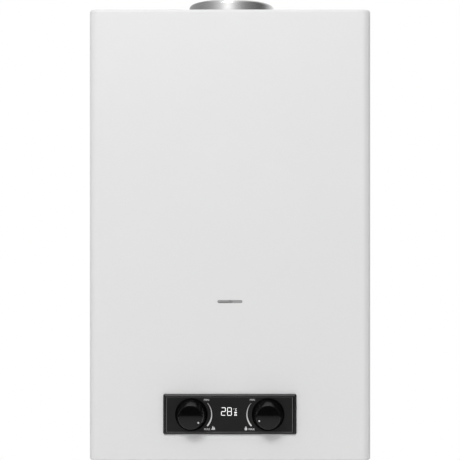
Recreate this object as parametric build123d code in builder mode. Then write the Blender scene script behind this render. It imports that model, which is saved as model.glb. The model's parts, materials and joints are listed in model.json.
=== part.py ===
"""Wall-hung tankless gas water heater: open flue, battery ignition, water-operated gas valve.

Lengths are millimetres and angles are degrees. +Z is up and the front faces -Y. The origin is on
the wall plane, midway between the two upper hanging holes. "out" is a distance from the wall
towards the front, so a point that stands "out" from the wall has y = -out.
"""
import os
from math import cos, pi, radians, sin, sqrt

from build123d import *

os.makedirs("parts", exist_ok=True)

# Casing
case_width = 332.0
case_height = 532.0
case_depth = 170.0
case_edge_radius = 10.0  # upright front edges
case_rim_radius = 3.0  # top and bottom edges
cover_sheet = 0.6
frame_sheet = 0.8

# Wall fixing
hang_drop = 52.0  # case top down to the hanging holes
hang_spacing = 190.0
keyhole_radius = 6.0
keyhole_neck = 6.0
keyhole_rise = 12.0
lower_hole_lift = 50.0  # above the case bottom
lower_hole_radius = 4.0

# Flue and front panel
flue_diameter = 105.0
flue_rise = 18.0  # collar above the case top
panel_lift = 55.5  # panel middle above the case bottom
knob_spacing = 90.0
window_lift = 187.7  # flame window above the case bottom
window_width = 29.5
window_height = 3.6

# Water and gas ways
pipe_radius = 7.0
pipe_wall = 1.0
thread_radius = 10.4775  # G 1/2
union_x = 58.0  # gas on the left, cold water on the right
hot_x = -118.0
hot_out = 60.0
valve_setback = 66.0  # axis of the gas and water sections behind the case front
rod_stroke = 4.0

# Combustion shell between the wall and the case front
shell_wall_gap = 25.0
shell_front_gap = 23.0

# Clearances
running = 0.05  # on the radius, parts that turn or slide
slip = 0.1  # on the radius, parts that push together
gap = 0.3  # neighbours that pass each other
overrun = 2.0  # cutters past the faces they cut

# Places worked out from the sizes above
case_top = hang_drop
case_bottom = case_top - case_height
case_half = case_width / 2
case_middle = (case_top + case_bottom) / 2
panel_z = case_bottom + panel_lift
window_z = case_bottom + window_lift
knob_x = knob_spacing / 2
shell_depth = case_depth - shell_wall_gap - shell_front_gap
shell_rear = shell_wall_gap
shell_front = case_depth - shell_front_gap
flue_out = (shell_rear + shell_front) / 2
valve_out = case_depth - valve_setback
plate_bottom = case_bottom + cover_sheet
plate_top = plate_bottom + frame_sheet


def upright(x, out):
    """Plane through an upright axis: across is the radius, up is Z."""
    return Plane(origin=(x, -out, 0), x_dir=(1, 0, 0), z_dir=(0, -1, 0))


def outward(x, z):
    """Plane through an axis that runs to the front: across is the radius, up is out."""
    return Plane(origin=(x, 0, z), x_dir=(1, 0, 0), z_dir=(0, 0, -1))


def sideways(out, z):
    """Plane through an axis that runs to the right: across is X, up is the radius."""
    return Plane(origin=(0, -out, z), x_dir=(1, 0, 0), z_dir=(0, -1, 0))


def at(points):
    """Turns (x, out, z) points into (x, y, z)."""
    return [(x, -out, z) for x, out, z in points]


def pan_screws(seats, shank_radius, shank_length):
    """Cross-recess screws whose heads stand on the given planes."""
    head_radius_share, head_height_share, slot_share = 2.0, 1.2, 0.4
    head_radius = shank_radius * head_radius_share
    head_height = shank_radius * head_height_share
    slot = shank_radius * slot_share
    with BuildPart() as screws:
        with BuildSketch(*seats):
            Circle(head_radius)
        extrude(amount=head_height, taper=10)
        with BuildSketch(*seats):
            Circle(shank_radius)
        extrude(amount=-shank_length)
        with BuildSketch(*[seat.offset(head_height) for seat in seats]):
            Rectangle(head_radius, slot)
            Rectangle(slot, head_radius)
        extrude(amount=-head_height / 2, mode=Mode.SUBTRACT)
    return screws


# Front cover: one pressed shell, open at the back
cover_wall_gap = 2.0
return_width = 8.0
notch_radius = 62.0
bottom_lip = 13.0
bottom_side_lip = 9.0
cover_screw_x = 100.0
cover_screw_radius = 1.9
cover_screw_length = 6.0
cover_screw_out = case_depth - bottom_lip / 2
panel_cut_width = 148.0
panel_cut_height = 39.0
panel_cut_radius = 2.0
cover_screw_places = [(side * cover_screw_x, -cover_screw_out) for side in (-1, 1)]

with BuildPart() as front_cover:
    with BuildSketch(Plane.XY.offset(case_bottom)) as plan:
        with Locations((0, -(case_depth + cover_wall_gap) / 2)):
            Rectangle(case_width, case_depth - cover_wall_gap)
        fillet(plan.vertices().group_by(Axis.Y)[0], case_edge_radius)
    extrude(amount=case_height)
    rims = front_cover.edges().group_by(Axis.Z)
    fillet(rims[0].sort_by(Axis.Y)[:-1] + rims[-1].sort_by(Axis.Y)[:-1], case_rim_radius)
    offset(amount=-cover_sheet, openings=front_cover.faces().sort_by(Axis.Y)[-1])
    with BuildSketch(Plane.XZ.offset(cover_wall_gap)):
        for side in (-1, 1):
            with Locations((side * (case_half - return_width / 2), case_middle)):
                Rectangle(return_width, case_height - 2 * case_rim_radius)
    extrude(amount=cover_sheet)
    with BuildSketch(Plane.XZ.offset(case_depth)):
        with Locations((0, panel_z)):
            RectangleRounded(panel_cut_width, panel_cut_height, panel_cut_radius)
        with Locations((0, window_z)):
            SlotOverall(window_width, window_height)
    extrude(amount=-2 * cover_sheet, mode=Mode.SUBTRACT)
    with BuildSketch(Plane.XY.offset(case_top)):
        with Locations((0, -flue_out)):
            Circle(notch_radius)
        with Locations((0, -flue_out / 2)):
            Rectangle(2 * notch_radius, flue_out)
    extrude(amount=-2 * cover_sheet, mode=Mode.SUBTRACT)
    with BuildSketch(Plane.XY.offset(case_bottom)):
        with Locations((0, -(case_depth - bottom_lip) / 2)):
            Rectangle(case_width - 2 * bottom_side_lip, case_depth - bottom_lip)
        with Locations(*cover_screw_places):
            Circle(cover_screw_radius + gap)
    extrude(amount=2 * cover_sheet, mode=Mode.SUBTRACT)

# Window pane: a mica sheet behind the flame window
pane_width = 46.0
pane_height = 16.0
pane_sheet = 0.7
pane_corner = 2.0

with BuildPart() as window_pane:
    with BuildSketch(Plane.XZ.offset(case_depth - cover_sheet)):
        with Locations((0, window_z)):
            RectangleRounded(pane_width, pane_height, pane_corner)
    extrude(amount=-pane_sheet)

# Rear plate: a shallow pan with stiffening ribs and keyholes
back_inset = 10.0
pan_depth = 14.0
pan_corner = 6.0
rib_x = 60.0
rib_width = 14.0
rib_length = 230.0
rib_height = 2.0
rib_drop = 200.0  # rib middle below the case top
back_half = case_half - back_inset
pan_top = case_top - cover_sheet
lower_hole_z = case_bottom + lower_hole_lift

with BuildPart() as rear_plate:
    with BuildSketch(Plane.XZ):
        with Locations((0, (pan_top + plate_top) / 2)):
            RectangleRounded(2 * back_half, pan_top - plate_top, pan_corner)
    extrude(amount=pan_depth)
    offset(amount=-frame_sheet, openings=rear_plate.faces().sort_by(Axis.Y)[0])
    rib_places = [(side * rib_x, case_top - rib_drop) for side in (-1, 1)]
    with BuildSketch(Plane.XZ.offset(frame_sheet)):
        with Locations(*rib_places):
            SlotOverall(rib_length, rib_width, rotation=90)
    extrude(amount=rib_height, taper=15)
    with BuildSketch(Plane.XZ):
        with Locations(*rib_places):
            SlotOverall(rib_length - 2 * frame_sheet, rib_width - 2 * frame_sheet, rotation=90)
    extrude(amount=rib_height, taper=15, mode=Mode.SUBTRACT)
    with BuildSketch(Plane.XZ):
        for side in (-1, 1):
            with Locations((side * hang_spacing / 2, 0)):
                Circle(keyhole_radius)
            with Locations((side * hang_spacing / 2, keyhole_rise / 2)):
                SlotCenterToCenter(keyhole_rise, keyhole_neck, rotation=90)
            with Locations((side * hang_spacing / 2, lower_hole_z)):
                Circle(lower_hole_radius)
    extrude(amount=frame_sheet, mode=Mode.SUBTRACT)

# Bottom plate: carries the pipe unions and the battery box, with air slots
bottom_side_gap = 15.0
bottom_half = case_half - bottom_side_gap
bottom_front_gap = 3.5
bottom_depth = case_depth - bottom_front_gap
bottom_corner = 5.0
union_hole = 12.4
air_slot_length = 22.0
air_slot_width = 5.0
air_slot_pitch = 28.0
rear_slot_count = 9
rear_slot_out = 26.0
front_slot_count = 6
front_slot_setback = 32.0
front_slot_out = case_depth - front_slot_setback
front_slot_x = -44.0
battery_inset = 46.0
battery_setback = 34.0
battery_x = case_half - battery_inset
battery_out = case_depth - battery_setback
battery_width = 70.0
battery_depth = 39.0
ear_sheet = 1.6
ear_width = 6.0
ear_shift_share = 0.25  # plate's cut-out towards the ears, of their width
battery_cut_depth = battery_depth + ear_width / 2 + 2 * gap
union_places = [(hot_x, -hot_out), (-union_x, -valve_out), (union_x, -valve_out)]

with BuildPart() as bottom_plate:
    with BuildSketch(Plane.XY.offset(plate_bottom)):
        with Locations((0, -bottom_depth / 2)):
            RectangleRounded(2 * bottom_half, bottom_depth, bottom_corner)
        with Locations((battery_x, -battery_out + ear_width * ear_shift_share)):
            Rectangle(
                battery_width + 2 * (ear_sheet + gap), battery_cut_depth, mode=Mode.SUBTRACT
            )
        with Locations(*union_places):
            Circle(union_hole, mode=Mode.SUBTRACT)
        with Locations(*cover_screw_places):
            Circle(cover_screw_radius + slip, mode=Mode.SUBTRACT)
        with Locations((0, -rear_slot_out)):
            with GridLocations(air_slot_pitch, air_slot_width, rear_slot_count, 1):
                SlotOverall(air_slot_length, air_slot_width, mode=Mode.SUBTRACT)
        with Locations((front_slot_x, -front_slot_out)):
            with GridLocations(air_slot_pitch, air_slot_width, front_slot_count, 1):
                SlotOverall(air_slot_length, air_slot_width, mode=Mode.SUBTRACT)
    extrude(amount=frame_sheet)

cover_screws = pan_screws(
    [Plane(origin=(x, y, case_bottom), z_dir=(0, 0, -1)) for x, y in cover_screw_places],
    cover_screw_radius,
    cover_screw_length,
)

# Combustion shell round the exchanger
shell_drop = 90.0
shell_height = 246.0
shell_half = 102.0
shell_corner = 15.0
shell_sheet = 0.8
shell_rim = 8.0
tube_margin = 16.0
tube_drop = 28.0  # tubes below the shell top
tube_end = 112.0
shell_top = case_top - shell_drop
shell_bottom = shell_top - shell_height
tube_z = shell_top - tube_drop
tube_pitch = (shell_depth - 2 * tube_margin) / 3
tube_outs = [shell_rear + tube_margin + tube_pitch * row for row in range(4)]
tube_places = [(-out, tube_z) for out in tube_outs]
hood_screw_radius = 1.5
hood_screw_length = 5.0
hood_screw_share = 0.33  # along the rim, of the shell's depth
hood_screw_y = shell_depth * hood_screw_share
hood_screw_places = [
    (side * (shell_half + shell_rim / 2), -flue_out + fore * hood_screw_y)
    for side in (-1, 1)
    for fore in (-1, 1)
]

with BuildPart() as exchanger_shell:
    with BuildSketch(Plane.XY.offset(shell_bottom)):
        with Locations((0, -flue_out)):
            RectangleRounded(2 * shell_half, shell_depth, shell_corner)
    extrude(amount=shell_height)
    offset(amount=-shell_sheet, openings=exchanger_shell.faces().filter_by(Axis.Z))
    with BuildSketch(Plane.XY.offset(shell_top - shell_sheet)):
        with Locations((0, -flue_out)):
            RectangleRounded(2 * (shell_half + shell_rim), shell_depth, shell_corner)
            RectangleRounded(
                2 * (shell_half - shell_sheet),
                shell_depth - 2 * shell_sheet,
                shell_corner - shell_sheet,
                mode=Mode.SUBTRACT,
            )
        with Locations(*hood_screw_places):
            Circle(hood_screw_radius + slip, mode=Mode.SUBTRACT)
    extrude(amount=shell_sheet)
    with BuildSketch(Plane.YZ.offset(-shell_half - overrun)):
        with Locations(*tube_places):
            Circle(pipe_radius + slip)
    extrude(amount=2 * (shell_half + overrun), mode=Mode.SUBTRACT)

# Finned block: copper fins brazed on four tubes
fin_count = 22
fin_pitch = 7.8
fin_sheet = 0.6
fin_height = 46.0
fin_corner = 5.0
fin_depth = shell_depth - 2 * (shell_sheet + gap)
first_fin = -fin_pitch * (fin_count - 1) / 2

with BuildPart() as fin_block:
    with BuildSketch(*[Plane.YZ.offset(first_fin + fin_pitch * fin) for fin in range(fin_count)]):
        with Locations((-flue_out, tube_z)):
            RectangleRounded(fin_depth, fin_height, fin_corner)
    extrude(amount=fin_sheet)
    with BuildSketch(Plane.YZ.offset(-tube_end)):
        with Locations(*tube_places):
            Circle(pipe_radius)
    extrude(amount=2 * tube_end)
    with BuildSketch(Plane.YZ.offset(-tube_end)):
        with Locations(*tube_places):
            Circle(pipe_radius - pipe_wall)
    extrude(amount=2 * tube_end, mode=Mode.SUBTRACT)

# Return bends: half turns that join the tubes in a row
with BuildPart() as return_bends:
    for side, row in ((1, 0), (1, 2), (-1, 1)):
        with BuildSketch(Plane.YZ.offset(side * tube_end)):
            with Locations(tube_places[row]):
                Circle(pipe_radius)
                Circle(pipe_radius - pipe_wall, mode=Mode.SUBTRACT)
        bend_middle = (side * tube_end, -(tube_outs[row] + tube_outs[row + 1]) / 2, tube_z)
        revolve(axis=Axis(bend_middle, (0, 0, -side)), revolution_arc=180)


def bent_pipe(points, bends, radius, wall=0):
    """A pipe swept along straight runs joined by tangent bends, hollow if it has a wall."""
    with BuildPart() as pipe:
        with BuildLine() as route:
            FilletPolyline(*points, radius=bends)
        start = Plane(origin=route.line @ 0, z_dir=route.line % 0)
        with BuildSketch(start):
            Circle(radius)
            if wall:
                Circle(radius - wall, mode=Mode.SUBTRACT)
        sweep(path=route.line)
    length = route.wire().length
    bore = radius - wall if wall else 0
    drawn = pi * (radius**2 - bore**2) * length
    print(f"pipe of radius {radius}: length {length:.1f}, volume share {pipe.part.volume / drawn:.4f}")
    return pipe


# Coil pipe: from the water section, round the shell, into the front tube
water_end = 78.0
coil_low_drop = 177.0  # below the shell top
coil_high_drop = 132.0
coil_turn_x = 132.0
coil_climb = 50.0
turn_bend = 16.0
wrap_bend = shell_corner + pipe_radius + gap
wrap_x = shell_half + pipe_radius + gap
wrap_front = shell_front + pipe_radius + gap
wrap_rear = shell_rear - pipe_radius - gap
coil_low = shell_top - coil_low_drop
coil_high = shell_top - coil_high_drop
coil_pipe = bent_pipe(
    at(
        [
            (water_end, valve_out, panel_z),
            (wrap_x, valve_out, panel_z),
            (wrap_x, valve_out, coil_low),
            (wrap_x, wrap_front, coil_low),
            (-wrap_x, wrap_front, coil_low),
            (-wrap_x, wrap_rear, coil_low),
            (wrap_x, wrap_rear, coil_high),
            (wrap_x, wrap_front, coil_high),
            (-coil_turn_x, wrap_front, coil_high),
            (-coil_turn_x, tube_outs[-1], coil_high + coil_climb),
            (-coil_turn_x, tube_outs[-1], tube_z),
            (-tube_end, tube_outs[-1], tube_z),
        ]
    ),
    [turn_bend] * 2 + [wrap_bend] * 5 + [turn_bend] * 3,
    pipe_radius,
    pipe_wall,
)

# Hot pipe: from the rear tube down the left side to the hot union
hot_pipe_x = -148.0
hot_bend = 20.0
hot_crank_top = 95.0  # above the case bottom
hot_crank_low = 50.0
union_rise = 24.0
union_top = case_bottom + union_rise
hot_pipe = bent_pipe(
    at(
        [
            (-tube_end, tube_outs[0], tube_z),
            (hot_pipe_x, tube_outs[0], tube_z),
            (hot_pipe_x, tube_outs[0], case_bottom + hot_crank_top),
            (hot_x, hot_out, case_bottom + hot_crank_low),
            (hot_x, hot_out, union_top),
        ]
    ),
    [hot_bend] * 3,
    pipe_radius,
    pipe_wall,
)

# Draught hood: skirt, sloping walls and a relief opening at the front
hood_drop = 3.0  # hood top below the case top
hood_skirt = 14.0
hood_top_side = 116.0
hood_sheet = 0.8
relief_width = 110.0
relief_height = 26.0
relief_lift = 38.0  # relief middle above the shell top
collar_radius = flue_diameter / 2
collar_sheet = 0.8
hood_top = case_top - hood_drop

with BuildPart() as draught_hood:
    with BuildSketch(Plane.XY.offset(shell_top)):
        with Locations((0, -flue_out)):
            Rectangle(2 * shell_half, shell_depth)
    extrude(amount=hood_skirt)
    with BuildSketch(Plane.XY.offset(shell_top + hood_skirt)):
        with Locations((0, -flue_out)):
            Rectangle(2 * shell_half, shell_depth)
    with BuildSketch(Plane.XY.offset(hood_top)):
        with Locations((0, -flue_out)):
            Rectangle(hood_top_side, hood_top_side)
    loft(ruled=True)
    offset(amount=-hood_sheet, openings=draught_hood.faces().sort_by(Axis.Z)[0])
    with BuildSketch(Plane.XY.offset(shell_top)):
        with Locations((0, -flue_out)):
            Rectangle(2 * (shell_half + shell_rim), shell_depth)
            Rectangle(
                2 * (shell_half - hood_sheet), shell_depth - 2 * hood_sheet, mode=Mode.SUBTRACT
            )
        with Locations(*hood_screw_places):
            Circle(hood_screw_radius + slip, mode=Mode.SUBTRACT)
    extrude(amount=hood_sheet)
    with BuildSketch(Plane.XY.offset(hood_top)):
        with Locations((0, -flue_out)):
            Circle(collar_radius - collar_sheet)
    extrude(amount=-2 * hood_sheet, mode=Mode.SUBTRACT)
    with BuildSketch(Plane.XZ.offset(flue_out)):
        with Locations((0, shell_top + relief_lift)):
            Rectangle(relief_width, relief_height)
    extrude(amount=shell_depth, mode=Mode.SUBTRACT)

hood_screws = pan_screws(
    [Plane(origin=(x, y, shell_top + hood_sheet)) for x, y in hood_screw_places],
    hood_screw_radius,
    hood_screw_length,
)

# Flue collar: flanged spigot with a turned-in rim
collar_flange = 57.0
rim_turn = 4.0
collar_top = case_top + flue_rise
rim_start = collar_top - rim_turn

with BuildPart() as flue_collar:
    with BuildSketch(upright(0, flue_out)):
        with BuildLine():
            Polyline(
                (collar_radius - collar_sheet, rim_start),
                (collar_radius - collar_sheet, hood_top),
                (collar_flange, hood_top),
                (collar_flange, hood_top + collar_sheet),
                (collar_radius, hood_top + collar_sheet),
                (collar_radius, rim_start),
            )
            TangentArc(
                (collar_radius, rim_start), (collar_radius - rim_turn, collar_top), tangent=(0, 1)
            )
            Line(
                (collar_radius - rim_turn, collar_top),
                (collar_radius - rim_turn, collar_top - collar_sheet),
            )
            TangentArc(
                (collar_radius - rim_turn, collar_top - collar_sheet),
                (collar_radius - collar_sheet, rim_start),
                tangent=(1, 0),
            )
        make_face()
    revolve(axis=Axis((0, -flue_out, 0), (0, 0, 1)))


def z_bracket(half, depth_from, depth_to, z):
    """A sheet bracket: a foot on the rear plate, a shelf, and a lip on what it carries."""
    with BuildPart() as bracket:
        with BuildSketch(Plane.YZ.offset(-half)):
            with Locations((-depth_from - frame_sheet / 2, z + bracket_foot / 2)):
                Rectangle(frame_sheet, bracket_foot)
            with Locations((-(depth_from + depth_to) / 2, z)):
                Rectangle(depth_to - depth_from, frame_sheet)
            with Locations((-depth_to + frame_sheet / 2, z - bracket_foot / 2)):
                Rectangle(frame_sheet, bracket_foot)
        extrude(amount=2 * half)
    return bracket


# Brackets that hold the exchanger and the burner on the rear plate
bracket_foot = 14.0
bracket_half = 48.0
exchanger_bracket_drop = 40.0  # below the shell top
burner_gap = 14.0  # shell bottom down to the burner ports
bar_height = 74.0
bar_margin = 23.0
bar_length = shell_depth - 2 * bar_margin
burner_top = shell_bottom - burner_gap
burner_sheet = 1.2
bar_rear = flue_out - bar_length / 2
bar_front = flue_out + bar_length / 2
tray_drop = 4.0  # frame below the burner ports
tray_height = 33.0
burner_bracket_drop = 14.0
exchanger_bracket = z_bracket(
    bracket_half, frame_sheet, shell_rear, shell_top - exchanger_bracket_drop
)
burner_bracket = z_bracket(
    bracket_half, frame_sheet, bar_rear - burner_sheet, burner_top - burner_bracket_drop
)

# Burner bars: hollow blades with a row of flame ports, each fed by its own throat
bar_count = 10
bar_pitch = 17.0
bar_width = 10.0
throat_width = 7.0
head_height = 20.0
throat_height = 20.0
bar_neck = 22.0
port_count = 13
port_margin = 6.8
port_width = 1.2
port_length = 7.0
port_depth = 3.0
mouth_depth = 12.0
throat_wall = 1.0
port_pitch = (bar_length - 2 * port_margin) / (port_count - 1)
bar_bottom = burner_top - bar_height
first_bar = -bar_pitch * (bar_count - 1) / 2
bar_places = [first_bar + bar_pitch * bar for bar in range(bar_count)]
throat_top = bar_bottom + throat_height
throat_z = bar_bottom + throat_height / 2

with BuildPart() as burner_bars:
    with BuildSketch(*[Plane.YZ.offset(x - bar_width / 2) for x in bar_places]):
        with Locations((-flue_out, burner_top - head_height / 2)):
            Rectangle(bar_length, head_height)
    extrude(amount=bar_width)
    with BuildSketch(*[Plane.YZ.offset(x - throat_width / 2) for x in bar_places]):
        with BuildLine():
            Polyline(
                (-bar_front, burner_top - head_height),
                (-bar_rear, burner_top - head_height),
                (-bar_rear, throat_top),
                (-bar_rear - throat_height, bar_bottom),
                (-bar_front, bar_bottom),
                (-bar_front, throat_top),
                (-bar_rear - bar_neck - throat_height / 2, throat_top),
                (-bar_rear - bar_neck, throat_top + throat_height / 2),
                (-bar_rear - bar_neck - throat_height / 2, throat_top + throat_height),
                close=True,
            )
        make_face()
    extrude(amount=throat_width)
    with BuildSketch(Plane.XY.offset(burner_top)):
        with Locations((0, -flue_out)):
            with GridLocations(bar_pitch, port_pitch, bar_count, port_count):
                Rectangle(port_length, port_width)
    extrude(amount=-port_depth, mode=Mode.SUBTRACT)
    with BuildSketch(Plane.XZ.offset(bar_front)):
        with Locations((0, throat_z)):
            with GridLocations(bar_pitch, throat_height, bar_count, 1):
                Rectangle(throat_width - 2 * throat_wall, throat_height - 2 * throat_wall)
    extrude(amount=-mouth_depth, mode=Mode.SUBTRACT)

# Burner frame: an open tray that holds the bars in a row
tray_gap = 2.0  # between the outer bars and the tray
tray_half = -first_bar + bar_width / 2 + tray_gap + burner_sheet
tray_top = burner_top - tray_drop

with BuildPart() as burner_frame:
    with BuildSketch(Plane.XY.offset(tray_top - tray_height)):
        with Locations((0, -flue_out)):
            Rectangle(2 * tray_half, bar_length + 2 * burner_sheet)
            Rectangle(2 * (tray_half - burner_sheet), bar_length, mode=Mode.SUBTRACT)
    extrude(amount=tray_height)

# Gas manifold: bar with a riser from the gas section, and one injector for each throat
manifold_size = 14.0
injector_reach = 9.0
riser_radius = 7.0
riser_flange_width = 34.0
riser_flange_depth = 20.0
riser_flange_height = 4.0
riser_flange_corner = 4.0
manifold_corner = 1.0
gas_top_rise = 26.0  # gas section's top above the valve axis
injector_hex = 4.5
injector_base = 3.0
nose_radius = 2.5
nose_tip = 1.5
nose_gap = 1.4
manifold_rear = bar_front + injector_reach
manifold_out = manifold_rear + manifold_size / 2
manifold_half = -first_bar + manifold_size / 2
gas_top = panel_z + gas_top_rise

with BuildPart() as gas_manifold:
    with BuildSketch(Plane.YZ.offset(-manifold_half)):
        with Locations((-manifold_out, throat_z)):
            RectangleRounded(manifold_size, manifold_size, manifold_corner)
    extrude(amount=2 * manifold_half)
    with BuildSketch(Plane.XY.offset(gas_top)):
        with Locations((-knob_x, -manifold_out)):
            Circle(riser_radius)
    extrude(amount=throat_z - gas_top)
    with BuildSketch(Plane.XY.offset(gas_top)):
        with Locations((-knob_x, -manifold_out)):
            RectangleRounded(riser_flange_width, riser_flange_depth, riser_flange_corner)
    extrude(amount=riser_flange_height)

with BuildPart() as injectors:
    with BuildSketch(Plane.XZ.offset(manifold_rear)):
        with Locations((0, throat_z)):
            with GridLocations(bar_pitch, bar_pitch, bar_count, 1):
                RegularPolygon(injector_hex, 6)
    extrude(amount=-injector_base)
    with BuildSketch(Plane.XZ.offset(manifold_rear - injector_base)):
        with Locations((0, throat_z)):
            with GridLocations(bar_pitch, bar_pitch, bar_count, 1):
                Circle(nose_radius)
    extrude(amount=-(injector_reach - injector_base - nose_gap), taper=10)

# Electrode bracket with two ceramics: one lights the gas, the other proves the flame
ceramic_x = 10.0
ceramic_radius = 3.5
ceramic_length = 46.0
ceramic_collar = 5.5
ceramic_collar_height = 3.0
ceramic_reach = 12.0  # out from the burner bars
shelf_drop = 32.0  # shelf below the burner ports
shelf_half = 22.0
shelf_front = 20.0
wire_radius = 0.9
wire_rise = 4.0
wire_bend = 2.0
wire_reach = 24.0
ceramic_out = bar_front + ceramic_reach
shelf_z = burner_top - shelf_drop
ceramic_share = 0.8  # above its shelf
ceramic_top = shelf_z + ceramic_length * ceramic_share
ceramic_bottom = ceramic_top - ceramic_length
frame_front = bar_front + burner_sheet
ceramic_places = [(side * ceramic_x, -ceramic_out) for side in (-1, 1)]

with BuildPart() as electrode_bracket:
    with BuildSketch(Plane.YZ.offset(-shelf_half)):
        with Locations((-frame_front - frame_sheet / 2, shelf_z + bracket_foot / 2)):
            Rectangle(frame_sheet, bracket_foot)
        with Locations((-frame_front - shelf_front / 2, shelf_z - frame_sheet / 2)):
            Rectangle(shelf_front, frame_sheet)
    extrude(amount=2 * shelf_half)
    with BuildSketch(Plane.XY.offset(shelf_z)):
        with Locations(*ceramic_places):
            Circle(ceramic_radius + slip)
    extrude(amount=-frame_sheet, mode=Mode.SUBTRACT)

with BuildPart() as electrode_ceramics:
    with BuildSketch(Plane.XY.offset(ceramic_bottom)):
        with Locations(*ceramic_places):
            Circle(ceramic_radius)
    extrude(amount=ceramic_length)
    with BuildSketch(Plane.XY.offset(shelf_z)):
        with Locations(*ceramic_places):
            Circle(ceramic_collar)
    extrude(amount=ceramic_collar_height)

with BuildPart() as electrode_wires:
    for x, y in ceramic_places:
        with BuildLine() as wire_route:
            FilletPolyline(
                (x, y, ceramic_top),
                (x, y, ceramic_top + wire_rise),
                (x, y + wire_reach, ceramic_top + wire_rise),
                radius=wire_bend,
            )
        with BuildSketch(Plane(origin=(x, y, ceramic_top))):
            Circle(wire_radius)
        sweep(path=wire_route.line)

# Bracket that carries the gas and water sections
hat_half = 72.0
hat_foot = 14.0
hat_sheet = 1.2
hat_height = 34.0
hat_reach = 36.0
hat_front = valve_out - hat_reach

with BuildPart() as valve_bracket:
    with BuildSketch(Plane.XY.offset(panel_z - hat_height / 2)):
        with Locations((0, -hat_front + hat_sheet / 2)):
            Rectangle(2 * hat_half, hat_sheet)
        for side in (-1, 1):
            with Locations((side * (hat_half - hat_sheet / 2), -(frame_sheet + hat_front) / 2)):
                Rectangle(hat_sheet, hat_front - frame_sheet)
            with Locations((side * (hat_half + hat_foot / 2 - hat_sheet), -frame_sheet - hat_sheet / 2)):
                Rectangle(hat_foot, hat_sheet)
    extrude(amount=hat_height)

# Gas section: a casting with the shut-off valve across it and the throttle in its neck
gas_left = -78.0
gas_right = -14.0
gas_barrel = 22.0
neck_width = 32.0
neck_height = 40.0
neck_corner = 6.0
neck_reach = 48.0
boss_radius = 12.0
boss_length = 7.0
inlet_boss = 14.0
inlet_bore = 6.5
pad_width = 40.0
pad_height = 30.0
chamber_radius = 12.0
seat_x = -40.0
seat_bore = 7.0
seat_end = -30.0
outlet_bore = 9.0
guide_start = -22.0
rod_radius = 2.5
plug_radius = 6.0
plug_reach = 18.0
neck_front = valve_out + neck_reach
plug_rear = valve_out + plug_reach
boss_front = neck_front + boss_length
chamber_depth = seat_x - gas_left
solenoid_x = -61.0
solenoid_boss = 14.0

with BuildPart() as gas_valve_body:
    with BuildSketch(Plane.YZ.offset(gas_left)):
        with Locations((-valve_out, panel_z)):
            Circle(gas_barrel)
    extrude(amount=gas_right - gas_left)
    with BuildSketch(Plane.XZ.offset(valve_out)):
        with Locations((-knob_x, panel_z)):
            RectangleRounded(neck_width, neck_height, neck_corner)
    extrude(amount=neck_front - valve_out)
    with BuildSketch(Plane.XZ.offset(neck_front)):
        with Locations((-knob_x, panel_z)):
            Circle(boss_radius)
    extrude(amount=boss_length)
    with BuildSketch(Plane.XY.offset(panel_z)):
        with Locations((-knob_x, -manifold_out)):
            RectangleRounded(riser_flange_width, riser_flange_depth, riser_flange_corner)
        with Locations((solenoid_x, -valve_out)):
            Circle(solenoid_boss)
    extrude(amount=gas_top_rise)
    with BuildSketch(Plane.XY.offset(panel_z)):
        with Locations((-union_x, -valve_out)):
            Circle(inlet_boss)
    extrude(amount=union_top - panel_z)
    with BuildSketch(Plane.XZ.offset(valve_out)):
        with Locations(((gas_left + gas_right) / 2, panel_z)):
            Rectangle(pad_width, pad_height)
    extrude(amount=hat_front - valve_out)
    for start, end, radius in (
        (gas_left, seat_x, chamber_radius + slip),
        (seat_x, seat_end, seat_bore),
        (seat_end, guide_start, outlet_bore),
        (guide_start, gas_right, rod_radius + running),
    ):
        with BuildSketch(Plane.YZ.offset(start)):
            with Locations((-valve_out, panel_z)):
                Circle(radius)
        extrude(amount=end - start, mode=Mode.SUBTRACT)
    with BuildSketch(Plane.XY.offset(union_top)):
        with Locations((-union_x, -valve_out)):
            Circle(inlet_bore)
    extrude(amount=panel_z - union_top, mode=Mode.SUBTRACT)
    with BuildSketch(Plane.XZ.offset(boss_front)):
        with Locations((-knob_x, panel_z)):
            Circle(plug_radius + running)
    extrude(amount=plug_rear - gap - boss_front, mode=Mode.SUBTRACT)

# Closing cap of the gas section
cap_flange = 17.0
cap_flange_length = 6.0
cap_spigot = 6.0
spring_from = gas_left + cap_spigot

with BuildPart() as gas_valve_cap:
    with BuildSketch(Plane.YZ.offset(gas_left)):
        with Locations((-valve_out, panel_z)):
            RegularPolygon(cap_flange, 6)
    extrude(amount=-cap_flange_length)
    with BuildSketch(Plane.YZ.offset(gas_left)):
        with Locations((-valve_out, panel_z)):
            Circle(chamber_radius)
    extrude(amount=cap_spigot)

# Poppet that shuts the gas until water flows
poppet_radius = 10.0
poppet_sheet = 4.0
poppet_nose = 4.0
nose_length = 4.0
poppet_back = seat_x - poppet_sheet
rod_left = seat_x + nose_length

with BuildPart() as gas_poppet:
    with BuildSketch(sideways(valve_out, panel_z)):
        with BuildLine():
            Polyline(
                (poppet_back - nose_length, 0),
                (poppet_back - nose_length, poppet_nose),
                (poppet_back, poppet_nose),
                (poppet_back, poppet_radius),
                (seat_x, poppet_radius),
                (seat_x, poppet_nose),
                (rod_left, poppet_nose),
                (rod_left, 0),
                close=True,
            )
        make_face()
    revolve(axis=Axis((0, -valve_out, panel_z), (1, 0, 0)))

# Poppet spring: one wire in quarter-turn pairs of tangent arcs
spring_radius = 7.0
spring_wire = 0.6
spring_turns = 6
spring_span = poppet_back - spring_from - 2 * (spring_wire + running)
spring_steps = 4 * spring_turns
spring_pitch = spring_span / spring_turns


def spring_point(turns):
    angle = 2 * pi * turns
    return Vector(
        spring_from + spring_wire + running + spring_pitch * turns,
        -valve_out + spring_radius * cos(angle),
        panel_z + spring_radius * sin(angle),
    )


def spring_heading(turns):
    angle = 2 * pi * turns
    around = 2 * pi * spring_radius
    return Vector(spring_pitch, -around * sin(angle), around * cos(angle)).normalized()


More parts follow.
